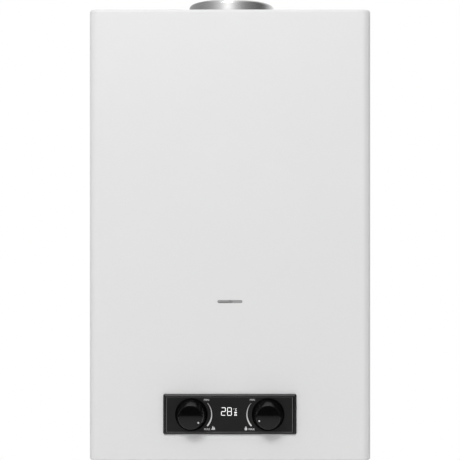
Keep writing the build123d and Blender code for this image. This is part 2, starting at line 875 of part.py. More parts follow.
with BuildPart() as poppet_spring:
    with BuildLine() as coil:
        for step in range(spring_steps):
            here, there = step / 4, (step + 1) / 4
            start, end = spring_point(here), spring_point(there)
            leave, arrive = spring_heading(here), spring_heading(there)
            chord = end - start
            lean = chord.dot(leave + arrive)
            spread = 2 * (1 - leave.dot(arrive))
            reach = (-lean + sqrt(lean**2 + spread * chord.dot(chord))) / spread
            middle = (start + leave * reach + end - arrive * reach) / 2
            heading = (end - arrive * reach - start - leave * reach).normalized()
            TangentArc(start, middle, tangent=leave)
            TangentArc(middle, end, tangent=heading)
    with BuildSketch(Plane(origin=coil.line @ 0, z_dir=coil.line % 0)):
        Circle(spring_wire)
    sweep(path=coil.line)
samples_per_turn = 72
turn_points = [
    spring_point(step / samples_per_turn) for step in range(spring_turns * samples_per_turn + 1)
]
least = min(
    (one - other).length
    for index, one in enumerate(turn_points)
    for other in turn_points[index + samples_per_turn // 2 :]
)
print(f"spring: least gap between turns {least - 2 * spring_wire:.2f}")

# Push rod: carries the diaphragm plate and the collar that works the switch
collar_x = 2.8
collar_length = 3.0
rod_collar = 5.5
plate_radius = 20.0
plate_sheet = 2.0
diaphragm_x = 27.0
plate_left = diaphragm_x - plate_sheet

with BuildPart() as push_rod:
    with BuildSketch(sideways(valve_out, panel_z)):
        with BuildLine():
            Polyline(
                (rod_left, 0),
                (rod_left, rod_radius),
                (collar_x, rod_radius),
                (collar_x, rod_collar),
                (collar_x + collar_length, rod_collar),
                (collar_x + collar_length, rod_radius),
                (plate_left, rod_radius),
                (plate_left, plate_radius),
                (diaphragm_x, plate_radius),
                (diaphragm_x, 0),
                close=True,
            )
        make_face()
    revolve(axis=Axis((0, -valve_out, panel_z), (1, 0, 0)))

# Water section: cover, diaphragm and body bolted together across the rod's axis
flange_radius = 35.0
flange_bolts = 30.5
bolt_count = 6
bolt_radius = 2.0
bolt_length = 13.5
gland_radius = 8.0
gland_left = 8.0
dome_left = 13.0
dome_slope = 2.0
dome_radius = 26.0
cover_flange_left = 21.0
chamber_left = 20.0
chamber_wide = 23.0
diaphragm_sheet = 2.0
body_left = diaphragm_x + diaphragm_sheet
body_flange = 6.0
chamber_right = 37.0
water_barrel = 24.0
barrel_right = 73.0
water_bore = 8.0
bore_right = 64.0
water_axis = Axis((0, -valve_out, panel_z), (1, 0, 0))
bolt_circle = Plane(origin=(0, -valve_out, panel_z), x_dir=(0, 1, 0), z_dir=(1, 0, 0))

with BuildPart() as water_cover:
    with BuildSketch(sideways(valve_out, panel_z)):
        with BuildLine():
            Polyline(
                (gland_left, rod_radius + running),
                (gland_left, gland_radius),
                (dome_left, gland_radius),
                (dome_left + dome_slope, dome_radius),
                (cover_flange_left, dome_radius),
                (cover_flange_left, flange_radius),
                (diaphragm_x, flange_radius),
                (diaphragm_x, chamber_wide),
                (chamber_left, chamber_wide),
                (chamber_left, rod_radius + running),
                close=True,
            )
        make_face()
    revolve(axis=water_axis)
    with BuildSketch(bolt_circle.offset(cover_flange_left)):
        with PolarLocations(flange_bolts, bolt_count):
            Circle(bolt_radius + slip)
    extrude(amount=diaphragm_x - cover_flange_left, mode=Mode.SUBTRACT)

with BuildPart() as diaphragm:
    with BuildSketch(bolt_circle.offset(diaphragm_x)):
        Circle(flange_radius)
        with PolarLocations(flange_bolts, bolt_count):
            Circle(bolt_radius + slip, mode=Mode.SUBTRACT)
    extrude(amount=diaphragm_sheet)

drain_x = 44.0
drain_setback = 18.0
drain_boss = 7.0
drain_rise = 30.0  # boss end above the case bottom
drain_radius = 3.5
drain_depth = 10.0
drain_head = 6.0
drain_head_height = 5.0
drain_z = case_bottom + drain_rise
drain_out = valve_out - drain_setback
outlet_radius = 11.0
water_pad_x = 55.0
water_pad_width = 28.0

with BuildPart() as water_body:
    with BuildSketch(sideways(valve_out, panel_z)):
        with BuildLine():
            Polyline(
                (body_left, 0),
                (body_left, flange_radius),
                (body_left + body_flange, flange_radius),
                (body_left + body_flange, water_barrel),
                (barrel_right, water_barrel),
                (barrel_right, outlet_radius),
                (water_end, outlet_radius),
                (water_end, 0),
                close=True,
            )
        make_face()
    revolve(axis=water_axis)
    with BuildSketch(Plane.XY.offset(panel_z)):
        with Locations((union_x, -valve_out)):
            Circle(inlet_boss)
    extrude(amount=union_top - panel_z)
    with BuildSketch(Plane.XY.offset(panel_z)):
        with Locations((drain_x, -drain_out)):
            Circle(drain_boss)
    extrude(amount=drain_z - panel_z)
    with BuildSketch(Plane.XZ.offset(valve_out)):
        with Locations((knob_x, panel_z)):
            Circle(boss_radius)
    extrude(amount=boss_front - valve_out)
    with BuildSketch(Plane.XZ.offset(valve_out)):
        with Locations((water_pad_x, panel_z)):
            Rectangle(water_pad_width, pad_height)
    extrude(amount=hat_front - valve_out)
    for start, end, radius in (
        (body_left, chamber_right, chamber_wide),
        (chamber_right, bore_right, water_bore),
        (bore_right, water_end, pipe_radius - pipe_wall),
    ):
        with BuildSketch(Plane.YZ.offset(start)):
            with Locations((-valve_out, panel_z)):
                Circle(radius)
        extrude(amount=end - start, mode=Mode.SUBTRACT)
    with BuildSketch(bolt_circle.offset(body_left)):
        with PolarLocations(flange_bolts, bolt_count):
            Circle(bolt_radius + slip)
    extrude(amount=body_flange, mode=Mode.SUBTRACT)
    with BuildSketch(Plane.XY.offset(union_top)):
        with Locations((union_x, -valve_out)):
            Circle(inlet_bore)
    extrude(amount=panel_z - union_top, mode=Mode.SUBTRACT)
    with BuildSketch(Plane.XY.offset(drain_z)):
        with Locations((drain_x, -drain_out)):
            Circle(drain_radius + slip)
    extrude(amount=drain_depth + gap, mode=Mode.SUBTRACT)
    with BuildSketch(Plane.XZ.offset(boss_front)):
        with Locations((knob_x, panel_z)):
            Circle(plug_radius + running)
    extrude(amount=plug_rear - gap - boss_front, mode=Mode.SUBTRACT)

water_section_screws = pan_screws(
    [
        Plane(
            origin=(
                cover_flange_left,
                -valve_out + flange_bolts * cos(2 * pi * bolt / bolt_count),
                panel_z + flange_bolts * sin(2 * pi * bolt / bolt_count),
            ),
            z_dir=(-1, 0, 0),
        )
        for bolt in range(bolt_count)
    ],
    bolt_radius,
    bolt_length,
)

with BuildPart() as drain_plug:
    with BuildSketch(Plane.XY.offset(drain_z)):
        with Locations((drain_x, -drain_out)):
            RegularPolygon(drain_head, 6)
    extrude(amount=-drain_head_height)
    with BuildSketch(Plane.XY.offset(drain_z)):
        with Locations((drain_x, -drain_out)):
            Circle(drain_radius)
    extrude(amount=drain_depth)

# Spindles that the knobs turn, each behind a gland in its boss
gland_spigot = 6.0
gland_hex = 8.5
gland_head = 4.0
shaft_radius = 3.0
shaft_proud = 18.0
flat_length = 11.0
shaft_end = case_depth + shaft_proud
flat_start = shaft_end - flat_length
flat_share = 0.55  # flat's distance from the axis, of the shaft's radius
plug_front = boss_front - gland_spigot - gap
flat_reach = shaft_radius * flat_share


def spindle(x):
    """A throttle plug with a shaft that is flatted where the knob pushes on."""
    with BuildPart() as turned:
        with BuildSketch(outward(x, panel_z)):
            with BuildLine():
                Polyline(
                    (0, plug_rear),
                    (plug_radius, plug_rear),
                    (plug_radius, plug_front),
                    (shaft_radius, plug_front),
                    (shaft_radius, shaft_end),
                    (0, shaft_end),
                    close=True,
                )
            make_face()
        revolve(axis=Axis((x, 0, panel_z), (0, -1, 0)))
        with BuildSketch(Plane.XZ.offset(flat_start)):
            with Locations((x, panel_z + flat_reach + shaft_radius)):
                Rectangle(4 * shaft_radius, 2 * shaft_radius)
        extrude(amount=shaft_end - flat_start, mode=Mode.SUBTRACT)
    return turned


gas_spindle = spindle(-knob_x)
water_spindle = spindle(knob_x)
spindle_places = [(side * knob_x, panel_z) for side in (-1, 1)]

with BuildPart() as spindle_glands:
    with BuildSketch(Plane.XZ.offset(boss_front)):
        with Locations(*spindle_places):
            RegularPolygon(gland_hex, 6)
    extrude(amount=gland_head)
    with BuildSketch(Plane.XZ.offset(boss_front)):
        with Locations(*spindle_places):
            Circle(plug_radius)
    extrude(amount=-gland_spigot)
    with BuildSketch(Plane.XZ.offset(boss_front + gland_head)):
        with Locations(*spindle_places):
            Circle(shaft_radius + running)
    extrude(amount=-gland_head - gland_spigot, mode=Mode.SUBTRACT)

# Solenoid that lets go of the gas if the flame fails
solenoid_radius = 12.5
solenoid_height = 20.0
solenoid_step = 4.0

with BuildPart() as gas_solenoid:
    with BuildSketch(upright(solenoid_x, valve_out)):
        with BuildLine():
            Polyline(
                (0, gas_top),
                (solenoid_radius, gas_top),
                (solenoid_radius, gas_top + solenoid_height - solenoid_step),
                (solenoid_radius - solenoid_step, gas_top + solenoid_height),
                (0, gas_top + solenoid_height),
                close=True,
            )
        make_face()
    revolve(axis=Axis((solenoid_x, -valve_out, 0), (0, 0, 1)))

# Switch, its bracket on the gas section, and the lever that the rod's collar pushes
pivot_x = 2.0
pivot_rise = 16.0  # above the rod's axis
pivot_radius = 1.0
lever_sheet = 1.0
lever_width = 8.0
lever_barrel = 2.0
lever_clear = 3.4  # lever tip above the rod's axis
ear_drop = 3.0
shelf_gap = 3.5
switch_shelf_right = 8.0
switch_length = 18.0
switch_depth = 9.0
switch_height = 12.0
button_radius = 1.2
pivot_z = panel_z + pivot_rise
switch_shelf = pivot_z + shelf_gap
ear_out = lever_width / 2 + gap
switch_tab = gas_barrel / 2  # down the end of the gas section
terminal_share = 0.33  # between terminals, of the switch's length

with BuildPart() as switch_bracket:
    with BuildSketch(Plane.XZ.offset(valve_out - ear_out - frame_sheet)):
        with Locations((gas_right + frame_sheet / 2, switch_shelf - switch_tab / 2)):
            Rectangle(frame_sheet, switch_tab)
        with Locations(((gas_right + switch_shelf_right) / 2, switch_shelf + frame_sheet / 2)):
            Rectangle(switch_shelf_right - gas_right, frame_sheet)
    extrude(amount=2 * (ear_out + frame_sheet))
    for side in (-1, 1):
        with BuildSketch(Plane.XZ.offset(valve_out + side * (ear_out + frame_sheet / 2))):
            with Locations((pivot_x, (switch_shelf + pivot_z - ear_drop) / 2)):
                Rectangle(2 * ear_drop, switch_shelf - pivot_z + ear_drop)
            with Locations((pivot_x, pivot_z)):
                Circle(pivot_radius + running, mode=Mode.SUBTRACT)
        extrude(amount=frame_sheet / 2, both=True)

with BuildPart() as switch_lever:
    with BuildSketch(Plane.XZ.offset(valve_out - lever_width / 2)):
        with Locations((pivot_x, pivot_z)):
            Circle(lever_barrel)
        with Locations((pivot_x, (pivot_z + panel_z + lever_clear) / 2)):
            Rectangle(lever_sheet, pivot_rise - lever_clear)
    extrude(amount=lever_width)
    with BuildSketch(Plane.XZ.offset(valve_out - ear_out - frame_sheet)):
        with Locations((pivot_x, pivot_z)):
            Circle(pivot_radius)
    extrude(amount=2 * (ear_out + frame_sheet))

with BuildPart() as microswitch:
    with BuildSketch(Plane.XY.offset(switch_shelf + frame_sheet)):
        with Locations(((gas_right + switch_shelf_right) / 2, -valve_out)):
            RectangleRounded(switch_length, switch_depth, button_radius)
    extrude(amount=switch_height)
    with BuildSketch(Plane.XY.offset(switch_shelf + frame_sheet + switch_height)):
        with Locations(((gas_right + switch_shelf_right) / 2, -valve_out)):
            with GridLocations(switch_length * terminal_share, switch_depth, 3, 1):
                Rectangle(button_radius, 2 * button_radius)
    extrude(amount=2 * button_radius)

# Pipe unions with G 1/2 threads below the bottom plate
union_neck = 11.0
union_hex = 16.0
union_hex_height = 8.0
union_shoulder = 12.0
shoulder_drop = 4.0  # below the case bottom
thread_length = 18.0
thread_chamfer = 1.2
shoulder_end = case_bottom - shoulder_drop
union_end = shoulder_end - thread_length


def pipe_union(x, out):
    """A turned fitting with a hexagon on the bottom plate and a threaded tail."""
    with BuildPart() as union:
        with BuildSketch(upright(x, out)):
            with BuildLine():
                Polyline(
                    (inlet_bore, union_top),
                    (union_neck, union_top),
                    (union_neck, plate_top),
                    (union_shoulder, plate_top),
                    (union_shoulder, shoulder_end),
                    (thread_radius, shoulder_end),
                    (thread_radius, union_end + thread_chamfer),
                    (thread_radius - thread_chamfer, union_end),
                    (inlet_bore, union_end),
                    close=True,
                )
            make_face()
        revolve(axis=Axis((x, -out, 0), (0, 0, 1)))
        with BuildSketch(Plane.XY.offset(plate_top)):
            with Locations((x, -out)):
                RegularPolygon(union_hex, 6)
                Circle(union_neck, mode=Mode.SUBTRACT)
        extrude(amount=union_hex_height)
    return union


hot_union = pipe_union(hot_x, hot_out)
gas_union = pipe_union(-union_x, valve_out)
cold_union = pipe_union(union_x, valve_out)

# Nuts that clamp the pipes to the water section and the hot union
nut_hex = 12.0
nut_height = 9.0

with BuildPart() as pipe_nuts:
    with BuildSketch(Plane.YZ.offset(water_end)):
        with Locations((-valve_out, panel_z)):
            RegularPolygon(nut_hex, 6, rotation=30)
            Circle(pipe_radius + slip, mode=Mode.SUBTRACT)
    extrude(amount=nut_height)
    with BuildSketch(Plane.XY.offset(union_top)):
        with Locations((hot_x, -hot_out)):
            RegularPolygon(nut_hex, 6)
            Circle(pipe_radius + slip, mode=Mode.SUBTRACT)
    extrude(amount=nut_height)

# Safety sensors
stat_radius = 8.0
stat_height = 6.0
stat_drop = 70.0  # below the shell top
stat_tab = 24.0
stat_tab_height = 11.0
clip_wall = 1.2
clip_height = 12.0
clip_drop = 215.0
probe_radius = 4.0
probe_height = 18.0
stat_corner = 2.0
spill_radius = 6.0
spill_height = 6.0

with BuildPart() as overheat_thermostat:
    with BuildSketch(Plane.YZ.offset(shell_half)):
        with Locations((-flue_out, shell_top - stat_drop)):
            RectangleRounded(stat_tab, stat_tab_height, stat_corner)
    extrude(amount=frame_sheet)
    with BuildSketch(Plane.YZ.offset(shell_half + frame_sheet)):
        with Locations((-flue_out, shell_top - stat_drop)):
            Circle(stat_radius)
    extrude(amount=stat_height)

with BuildPart() as outlet_sensor:
    with BuildSketch(Plane.XY.offset(shell_top - clip_drop)):
        with Locations((hot_pipe_x, -tube_outs[0])):
            Circle(pipe_radius + slip + clip_wall)
        with Locations((hot_pipe_x, -tube_outs[0] - pipe_radius - slip - probe_radius)):
            Circle(probe_radius)
        with Locations((hot_pipe_x, -tube_outs[0])):
            Circle(pipe_radius + slip, mode=Mode.SUBTRACT)
    extrude(amount=clip_height)
    with BuildSketch(Plane.XY.offset(shell_top - clip_drop)):
        with Locations((hot_pipe_x, -tube_outs[0] - pipe_radius - slip - probe_radius)):
            Circle(probe_radius - clip_wall)
    extrude(amount=probe_height)

with BuildPart() as spill_sensor:
    with BuildSketch(Plane.YZ.offset(shell_half)):
        with Locations((-flue_out, shell_top + hood_sheet + spill_radius)):
            Circle(spill_radius)
    extrude(amount=spill_height)

# Control box on the rear plate
box_left = 98.0
box_right = 150.0
box_front = 44.0
box_height = 96.0
socket_share = 0.75  # sockets up the box, of its height
box_corner = 3.0
lid_sheet = 3.0
lid_lip = 1.0
lug_length = 10.0
lug_width = 16.0
lug_sheet = 3.0
socket_pitch = 14.0
socket_radius = 3.0
socket_length = 6.0
lead_drop = 6.0  # upper lead below the ceramics
lead_lane = 5.0  # from the upper lead down to the lower
lead_rise = 19.0  # sockets above the upper lead
upper_lane = ceramic_bottom - lead_drop
socket_z = upper_lane + lead_rise
box_middle = (box_left + box_right) / 2
box_z = socket_z + box_height * (1 / 2 - socket_share)
socket_outs = [(box_front + side * socket_pitch) / 2 for side in (-1, 1)]
socket_places = [(-out, socket_z) for out in socket_outs]

with BuildPart() as control_box:
    with BuildSketch(Plane.XZ.offset(frame_sheet)):
        with Locations((box_middle, box_z)):
            RectangleRounded(box_right - box_left, box_height, box_corner)
    extrude(amount=box_front - frame_sheet - lid_sheet)
    with BuildSketch(Plane.XZ.offset(box_front - lid_sheet)):
        with Locations((box_middle, box_z)):
            RectangleRounded(
                box_right - box_left + 2 * lid_lip, box_height + 2 * lid_lip, box_corner + lid_lip
            )
    extrude(amount=lid_sheet, taper=20)
    with BuildSketch(Plane.XZ.offset(frame_sheet)):
        with Locations((box_middle, box_z)):
            SlotOverall(box_height + 2 * lug_length, lug_width, rotation=90)
    extrude(amount=lug_sheet)
    with BuildSketch(Plane.YZ.offset(box_left)):
        with Locations(*socket_places):
            Circle(socket_radius)
    extrude(amount=-socket_length)

# Leads from the control box to the ceramics
lead_radius = 1.6
lead_bend = 8.0
lead_end_bend = 4.0
lead_socket_bend = 3.0
lead_run_x = 88.0


def lead(target_x, socket_out, lane_z):
    """A lead from its socket, forward beside the burner, then along and up into a ceramic."""
    return bent_pipe(
        at(
            [
                (box_left - socket_length, socket_out, socket_z),
                (lead_run_x, socket_out, socket_z),
                (lead_run_x, socket_out, lane_z),
                (lead_run_x, ceramic_out, lane_z),
                (target_x, ceramic_out, lane_z),
                (target_x, ceramic_out, ceramic_bottom),
            ]
        ),
        [lead_socket_bend, lead_bend, lead_bend, lead_end_bend],
        lead_radius,
    )


ignition_lead = lead(-ceramic_x, socket_outs[0], upper_lane - lead_lane)
flame_lead = lead(ceramic_x, socket_outs[1], upper_lane)

# Battery box through the bottom plate, with two cells and a hinged door
box_wall = 1.6
cell_radius = 16.4
cell_length = 61.0
cell_bevel = 2.0
nub_share = 0.33  # end cap of a cell, of its radius
strip_sheet = 0.6
strip_width = 12.0
door_sheet = 1.8
door_gap = 0.2
ear_height = 9.0
trunnion_radius = 0.6
foot_length = 14.0
foot_width = 36.0
foot_sheet = 3.0
latch_rise = 5.0
latch_width = 16.0
latch_sheet = 1.0
latch_clear = 0.6
door_top = case_bottom + door_sheet
battery_bottom = door_top + door_gap
cell_bottom = battery_bottom + gap
cell_top = cell_bottom + cell_length
battery_ceiling = cell_top + strip_sheet
battery_rear = battery_out - battery_depth / 2
battery_front = battery_out + battery_depth / 2
hinge_out = battery_rear + door_sheet / 2
hinge_z = case_bottom + door_sheet / 2
battery_half = battery_width / 2
cell_places = [(battery_x + side * (cell_radius + gap), -battery_out) for side in (-1, 1)]

with BuildPart() as battery_box:
    with BuildSketch(Plane.XY.offset(battery_bottom)):
        with Locations((battery_x, -battery_out)):
            Rectangle(battery_width, battery_depth)
    extrude(amount=battery_ceiling + box_wall - battery_bottom)
    offset(amount=-box_wall, openings=battery_box.faces().sort_by(Axis.Z)[0])
    with BuildSketch(Plane.XY.offset(plate_top)):
        with Locations((battery_x, -battery_rear + foot_length / 2)):
            Rectangle(foot_width, foot_length)
    extrude(amount=foot_sheet)
    for side in (-1, 1):
        with BuildSketch(Plane.YZ.offset(battery_x + side * (battery_half + ear_sheet / 2))):
            with Locations((-hinge_out, hinge_z + ear_height / 2 - door_sheet / 2)):
                Rectangle(ear_width, ear_height)
            with Locations((-hinge_out, hinge_z)):
                Circle(trunnion_radius + running, mode=Mode.SUBTRACT)
        extrude(amount=ear_sheet / 2, both=True)

with BuildPart() as batteries:
    with BuildSketch(Plane.XY.offset(cell_bottom)):
        with Locations(*cell_places):
            Circle(cell_radius)
    extrude(amount=cell_length - cell_bevel)
    with BuildSketch(Plane.XY.offset(cell_top - cell_bevel)):
        with Locations(*cell_places):
            Circle(cell_radius * nub_share)
    extrude(amount=cell_bevel)

with BuildPart() as battery_contacts:
    with BuildSketch(Plane.XY.offset(cell_top)):
        with Locations((battery_x, -battery_out)):
            Rectangle(4 * cell_radius, strip_width)
    extrude(amount=strip_sheet)

with BuildPart() as battery_door:
    with BuildSketch(Plane.XY.offset(case_bottom)):
        with Locations((battery_x, -(hinge_out + battery_front) / 2)):
            Rectangle(battery_width - 2 * gap, battery_front - hinge_out)
    extrude(amount=door_sheet)
    with BuildSketch(Plane.YZ.offset(battery_x - battery_half + gap)):
        with Locations((-hinge_out, hinge_z)):
            Circle(door_sheet / 2)
    extrude(amount=battery_width - 2 * gap)
    with BuildSketch(Plane.YZ.offset(battery_x - battery_half - ear_sheet)):
        with Locations((-hinge_out, hinge_z)):
            Circle(trunnion_radius)
    extrude(amount=battery_width + 2 * ear_sheet)
    with BuildSketch(Plane.XY.offset(door_top)):
        with Locations((battery_x, -(battery_front - box_wall - latch_clear - latch_sheet / 2))):
            Rectangle(latch_width, latch_sheet)
    extrude(amount=latch_rise)

# Control panel: bezel clipped in the cover, fascia, display and circuit board
bezel_width = 157.0
bezel_height = 47.5
bezel_corner = 2.2
bezel_proud = 4.0
bezel_round = 2.4  # radius of the rounded front edge
bezel_steps = 3  # flats that make up the rounding
fascia_width = 149.4
fascia_height = 42.2
fascia_corner = 1.2
fascia_sheet = 1.6
fascia_chamfer = 0.5
skirt_width = 146.0
skirt_height = 37.0
skirt_corner = 2.0
skirt_depth = 9.0
skirt_wall = 2.0
clip_x = 40.0
clip_length = 14.0
clip_proud = 1.8
panel_hole = 8.0
display_width = 40.0
display_height = 22.0
board_width = 62.0
board_height = 30.0
board_sheet = 1.6
board_setback = 7.0
post_radius = 2.4
post_x = 27.5
post_z = 12.2
board_out = case_depth - board_setback
web_front = case_depth + bezel_proud / 2
bezel_front = case_depth + bezel_proud
fascia_front = web_front + fascia_sheet

with BuildPart() as panel_bezel:
    with BuildSketch(Plane.XZ.offset(case_depth)):
        with Locations((0, panel_z)):
            RectangleRounded(bezel_width, bezel_height, bezel_corner)
    extrude(amount=bezel_proud - bezel_round)
    for lower in range(bezel_steps):
        for step in (lower, lower + 1):
            turn = pi / 2 * step / bezel_steps
            inset = bezel_round * (1 - cos(turn))
            corner = bezel_corner + (fascia_corner - bezel_corner) * step / bezel_steps
            with BuildSketch(Plane.XZ.offset(bezel_front - bezel_round * (1 - sin(turn)))):
                with Locations((0, panel_z)):
                    RectangleRounded(bezel_width - 2 * inset, bezel_height - 2 * inset, corner)
        loft(ruled=True)
    with BuildSketch(Plane.XZ.offset(case_depth)):
        with Locations((0, panel_z)):
            RectangleRounded(skirt_width, skirt_height, skirt_corner)
            Rectangle(
                skirt_width - 2 * skirt_wall, skirt_height - 2 * skirt_wall, mode=Mode.SUBTRACT
            )
    extrude(amount=-skirt_depth)
    with BuildSketch(Plane.XZ.offset(case_depth)):
        with Locations((0, panel_z)):
            with GridLocations(2 * post_x, 2 * post_z, 2, 2):
                Circle(post_radius)
    extrude(amount=board_out + board_sheet - case_depth)
    with BuildSketch(Plane.YZ.offset(-clip_x - clip_length / 2), Plane.YZ.offset(clip_x - clip_length / 2)):
        for side in (-1, 1):
            with BuildLine():
                Polyline(
                    (-case_depth + cover_sheet + slip, panel_z + side * skirt_height / 2),
                    (-case_depth + cover_sheet + slip, panel_z + side * (skirt_height / 2 + clip_proud)),
                    (-case_depth + skirt_depth, panel_z + side * skirt_height / 2),
                    close=True,
                )
            make_face()
    extrude(amount=clip_length)
    with BuildSketch(Plane.XZ.offset(web_front)):
        with Locations((0, panel_z)):
            RectangleRounded(fascia_width + gap, fascia_height + gap, fascia_corner)
    extrude(amount=bezel_proud, mode=Mode.SUBTRACT)
    with BuildSketch(Plane.XZ.offset(web_front)):
        with Locations(*spindle_places):
            Circle(panel_hole)
        with Locations((0, panel_z)):
            Rectangle(display_width + 2 * gap, display_height + 2 * gap)
    extrude(amount=-bezel_proud, mode=Mode.SUBTRACT)

with BuildPart() as fascia:
    with BuildSketch(Plane.XZ.offset(web_front)):
        with Locations((0, panel_z)):
            RectangleRounded(fascia_width, fascia_height, fascia_corner)
    extrude(amount=fascia_sheet)
    chamfer(fascia.faces().sort_by(Axis.Y)[0].edges(), fascia_chamfer)
    with BuildSketch(Plane.XZ.offset(web_front)):
        with Locations(*spindle_places):
            Circle(panel_hole)
    extrude(amount=fascia_sheet, mode=Mode.SUBTRACT)

with BuildPart() as display_board:
    with BuildSketch(Plane.XZ.offset(board_out)):
        with Locations((0, panel_z)):
            RectangleRounded(board_width, board_height, board_sheet)
    extrude(amount=board_sheet)

with BuildPart() as display_module:
    with BuildSketch(Plane.XZ.offset(board_out + board_sheet)):
        with Locations((0, panel_z)):
            Rectangle(display_width, display_height)
    extrude(amount=web_front - board_out - board_sheet)

# Knobs: a skirt, a cone and a slightly domed face with a marker dot
knob_gap = 0.5
knob_height = 23.5
skirt_radius = 19.1
skirt_rise = 1.8
cone_radius = 18.0
face_radius = 13.4
face_edge = 0.8
face_dome = 0.5
knob_wall = 2.0
hub_radius = 6.5
dot_radius = 1.05
dot_circle = 11.2
dot_depth = 0.3
gas_dot_angle = -34.5  # from +X, as seen from the front
water_dot_angle = 202.5
knob_rear = fascia_front + knob_gap
knob_front = knob_rear + knob_height


def knob(x, dot_angle):
    """A hollow knob with a flatted hub and its marker dot at the given angle."""
    with BuildPart() as moulding:
        with BuildSketch(outward(x, panel_z)):
            with BuildLine():
                Polyline(
                    (0, knob_front),
                    (0, knob_rear + knob_height - knob_wall - face_edge),
                    (face_radius - knob_wall, knob_front - knob_wall - face_edge),
                    (cone_radius - knob_wall, knob_rear),
                    (skirt_radius, knob_rear),
                    (skirt_radius, knob_rear + skirt_rise),
                    (cone_radius, knob_rear + skirt_rise),
                    (face_radius + face_edge, knob_front - face_dome - face_edge),
                    (face_radius, knob_front - face_dome),
                )
                ThreePointArc(
                    (face_radius, knob_front - face_dome),
                    (face_radius / 2, knob_front - face_dome / 4),
                    (0, knob_front),
                )
            make_face()
        revolve(axis=Axis((x, 0, panel_z), (0, -1, 0)))
        with BuildSketch(Plane.XZ.offset(knob_rear)):
            with Locations((x, panel_z)):
                Circle(hub_radius)
        extrude(amount=knob_height - knob_wall)
        with BuildSketch(Plane.XZ.offset(knob_rear)):
            with Locations((x, panel_z)):
                Circle(shaft_radius + slip)
            with Locations((x, panel_z + flat_reach + slip + shaft_radius)):
                Rectangle(4 * shaft_radius, 2 * shaft_radius, mode=Mode.SUBTRACT)
        extrude(amount=shaft_end + gap - knob_rear, mode=Mode.SUBTRACT)
        with BuildSketch(Plane.XZ.offset(knob_rear)):
            with Locations((x, panel_z)):
                Circle(shaft_radius + slip)
        extrude(amount=flat_start - knob_rear, mode=Mode.SUBTRACT)
        dot_x = x + dot_circle * cos(radians(dot_angle))
        dot_z = panel_z + dot_circle * sin(radians(dot_angle))
        with BuildSketch(Plane.XZ.offset(knob_front - face_dome - dot_depth)):
            with Locations((dot_x, dot_z)):
                Circle(dot_radius)
        extrude(amount=2 * face_dome + dot_depth, mode=Mode.SUBTRACT)
    return moulding


gas_knob = knob(-knob_x, gas_dot_angle)
water_knob = knob(knob_x, water_dot_angle)

# Every piece goes to a file with its own name
pieces = {
    "front_cover": front_cover,
    "window_pane": window_pane,
    "rear_plate": rear_plate,
    "bottom_plate": bottom_plate,
    "cover_screws": cover_screws,
    "exchanger_shell": exchanger_shell,
    "fin_block": fin_block,
    "return_bends": return_bends,
    "coil_pipe": coil_pipe,
    "hot_pipe": hot_pipe,
    "draught_hood": draught_hood,
    "hood_screws": hood_screws,
    "flue_collar": flue_collar,
    "exchanger_bracket": exchanger_bracket,
    "burner_bracket": burner_bracket,
    "burner_bars": burner_bars,
    "burner_frame": burner_frame,
    "gas_manifold": gas_manifold,
    "injectors": injectors,
    "electrode_bracket": electrode_bracket,
    "electrode_ceramics": electrode_ceramics,
    "electrode_wires": electrode_wires,
    "valve_bracket": valve_bracket,
    "gas_valve_body": gas_valve_body,
    "gas_valve_cap": gas_valve_cap,
    "gas_poppet": gas_poppet,
    "poppet_spring": poppet_spring,
    "push_rod": push_rod,
    "water_cover": water_cover,
    "diaphragm": diaphragm,
    "water_body": water_body,
    "water_section_screws": water_section_screws,
    "drain_plug": drain_plug,
    "gas_spindle": gas_spindle,
    "water_spindle": water_spindle,
    "spindle_glands": spindle_glands,
    "gas_solenoid": gas_solenoid,
    "switch_bracket": switch_bracket,
    "switch_lever": switch_lever,
    "microswitch": microswitch,
    "hot_union": hot_union,
    "gas_union": gas_union,
    "cold_union": cold_union,
    "pipe_nuts": pipe_nuts,
    "overheat_thermostat": overheat_thermostat,
    "outlet_sensor": outlet_sensor,
    "spill_sensor": spill_sensor,
    "control_box": control_box,
    "ignition_lead": ignition_lead,
    "flame_lead": flame_lead,
    "battery_box": battery_box,
    "batteries": batteries,
    "battery_contacts": battery_contacts,
    "battery_door": battery_door,
    "panel_bezel": panel_bezel,
    "fascia": fascia,
    "display_board": display_board,
    "display_module": display_module,
    "gas_knob": gas_knob,
    "water_knob": water_knob,
}
for name, piece in pieces.items():
    piece.part.label = name
    export_step(piece.part, f"parts/{name}.step")
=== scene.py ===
import json
import math
import bmesh
import bpy
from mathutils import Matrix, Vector


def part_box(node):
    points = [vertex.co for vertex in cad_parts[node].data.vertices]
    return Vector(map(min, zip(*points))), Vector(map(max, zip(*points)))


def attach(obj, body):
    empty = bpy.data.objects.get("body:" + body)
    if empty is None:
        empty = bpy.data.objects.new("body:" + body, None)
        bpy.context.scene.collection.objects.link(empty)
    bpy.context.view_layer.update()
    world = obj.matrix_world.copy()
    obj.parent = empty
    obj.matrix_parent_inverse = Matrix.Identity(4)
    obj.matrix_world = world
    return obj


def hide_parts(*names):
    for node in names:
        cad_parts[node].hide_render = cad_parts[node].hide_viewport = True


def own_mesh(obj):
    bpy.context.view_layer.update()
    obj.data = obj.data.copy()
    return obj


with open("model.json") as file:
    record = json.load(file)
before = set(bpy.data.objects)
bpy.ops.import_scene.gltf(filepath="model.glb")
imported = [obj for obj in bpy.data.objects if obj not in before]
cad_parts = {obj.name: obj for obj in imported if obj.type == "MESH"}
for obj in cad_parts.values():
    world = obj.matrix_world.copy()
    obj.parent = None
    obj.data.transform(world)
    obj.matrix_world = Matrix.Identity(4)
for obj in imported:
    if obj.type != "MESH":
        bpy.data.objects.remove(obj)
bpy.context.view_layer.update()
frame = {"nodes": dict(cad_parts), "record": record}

nodes = frame["nodes"]
mm = 0.001
print("frame loaded,", len(nodes), "nodes")


def addObject(name, data):
    made = bpy.data.objects.new(name, data)
    bpy.context.collection.objects.link(made)
    return made


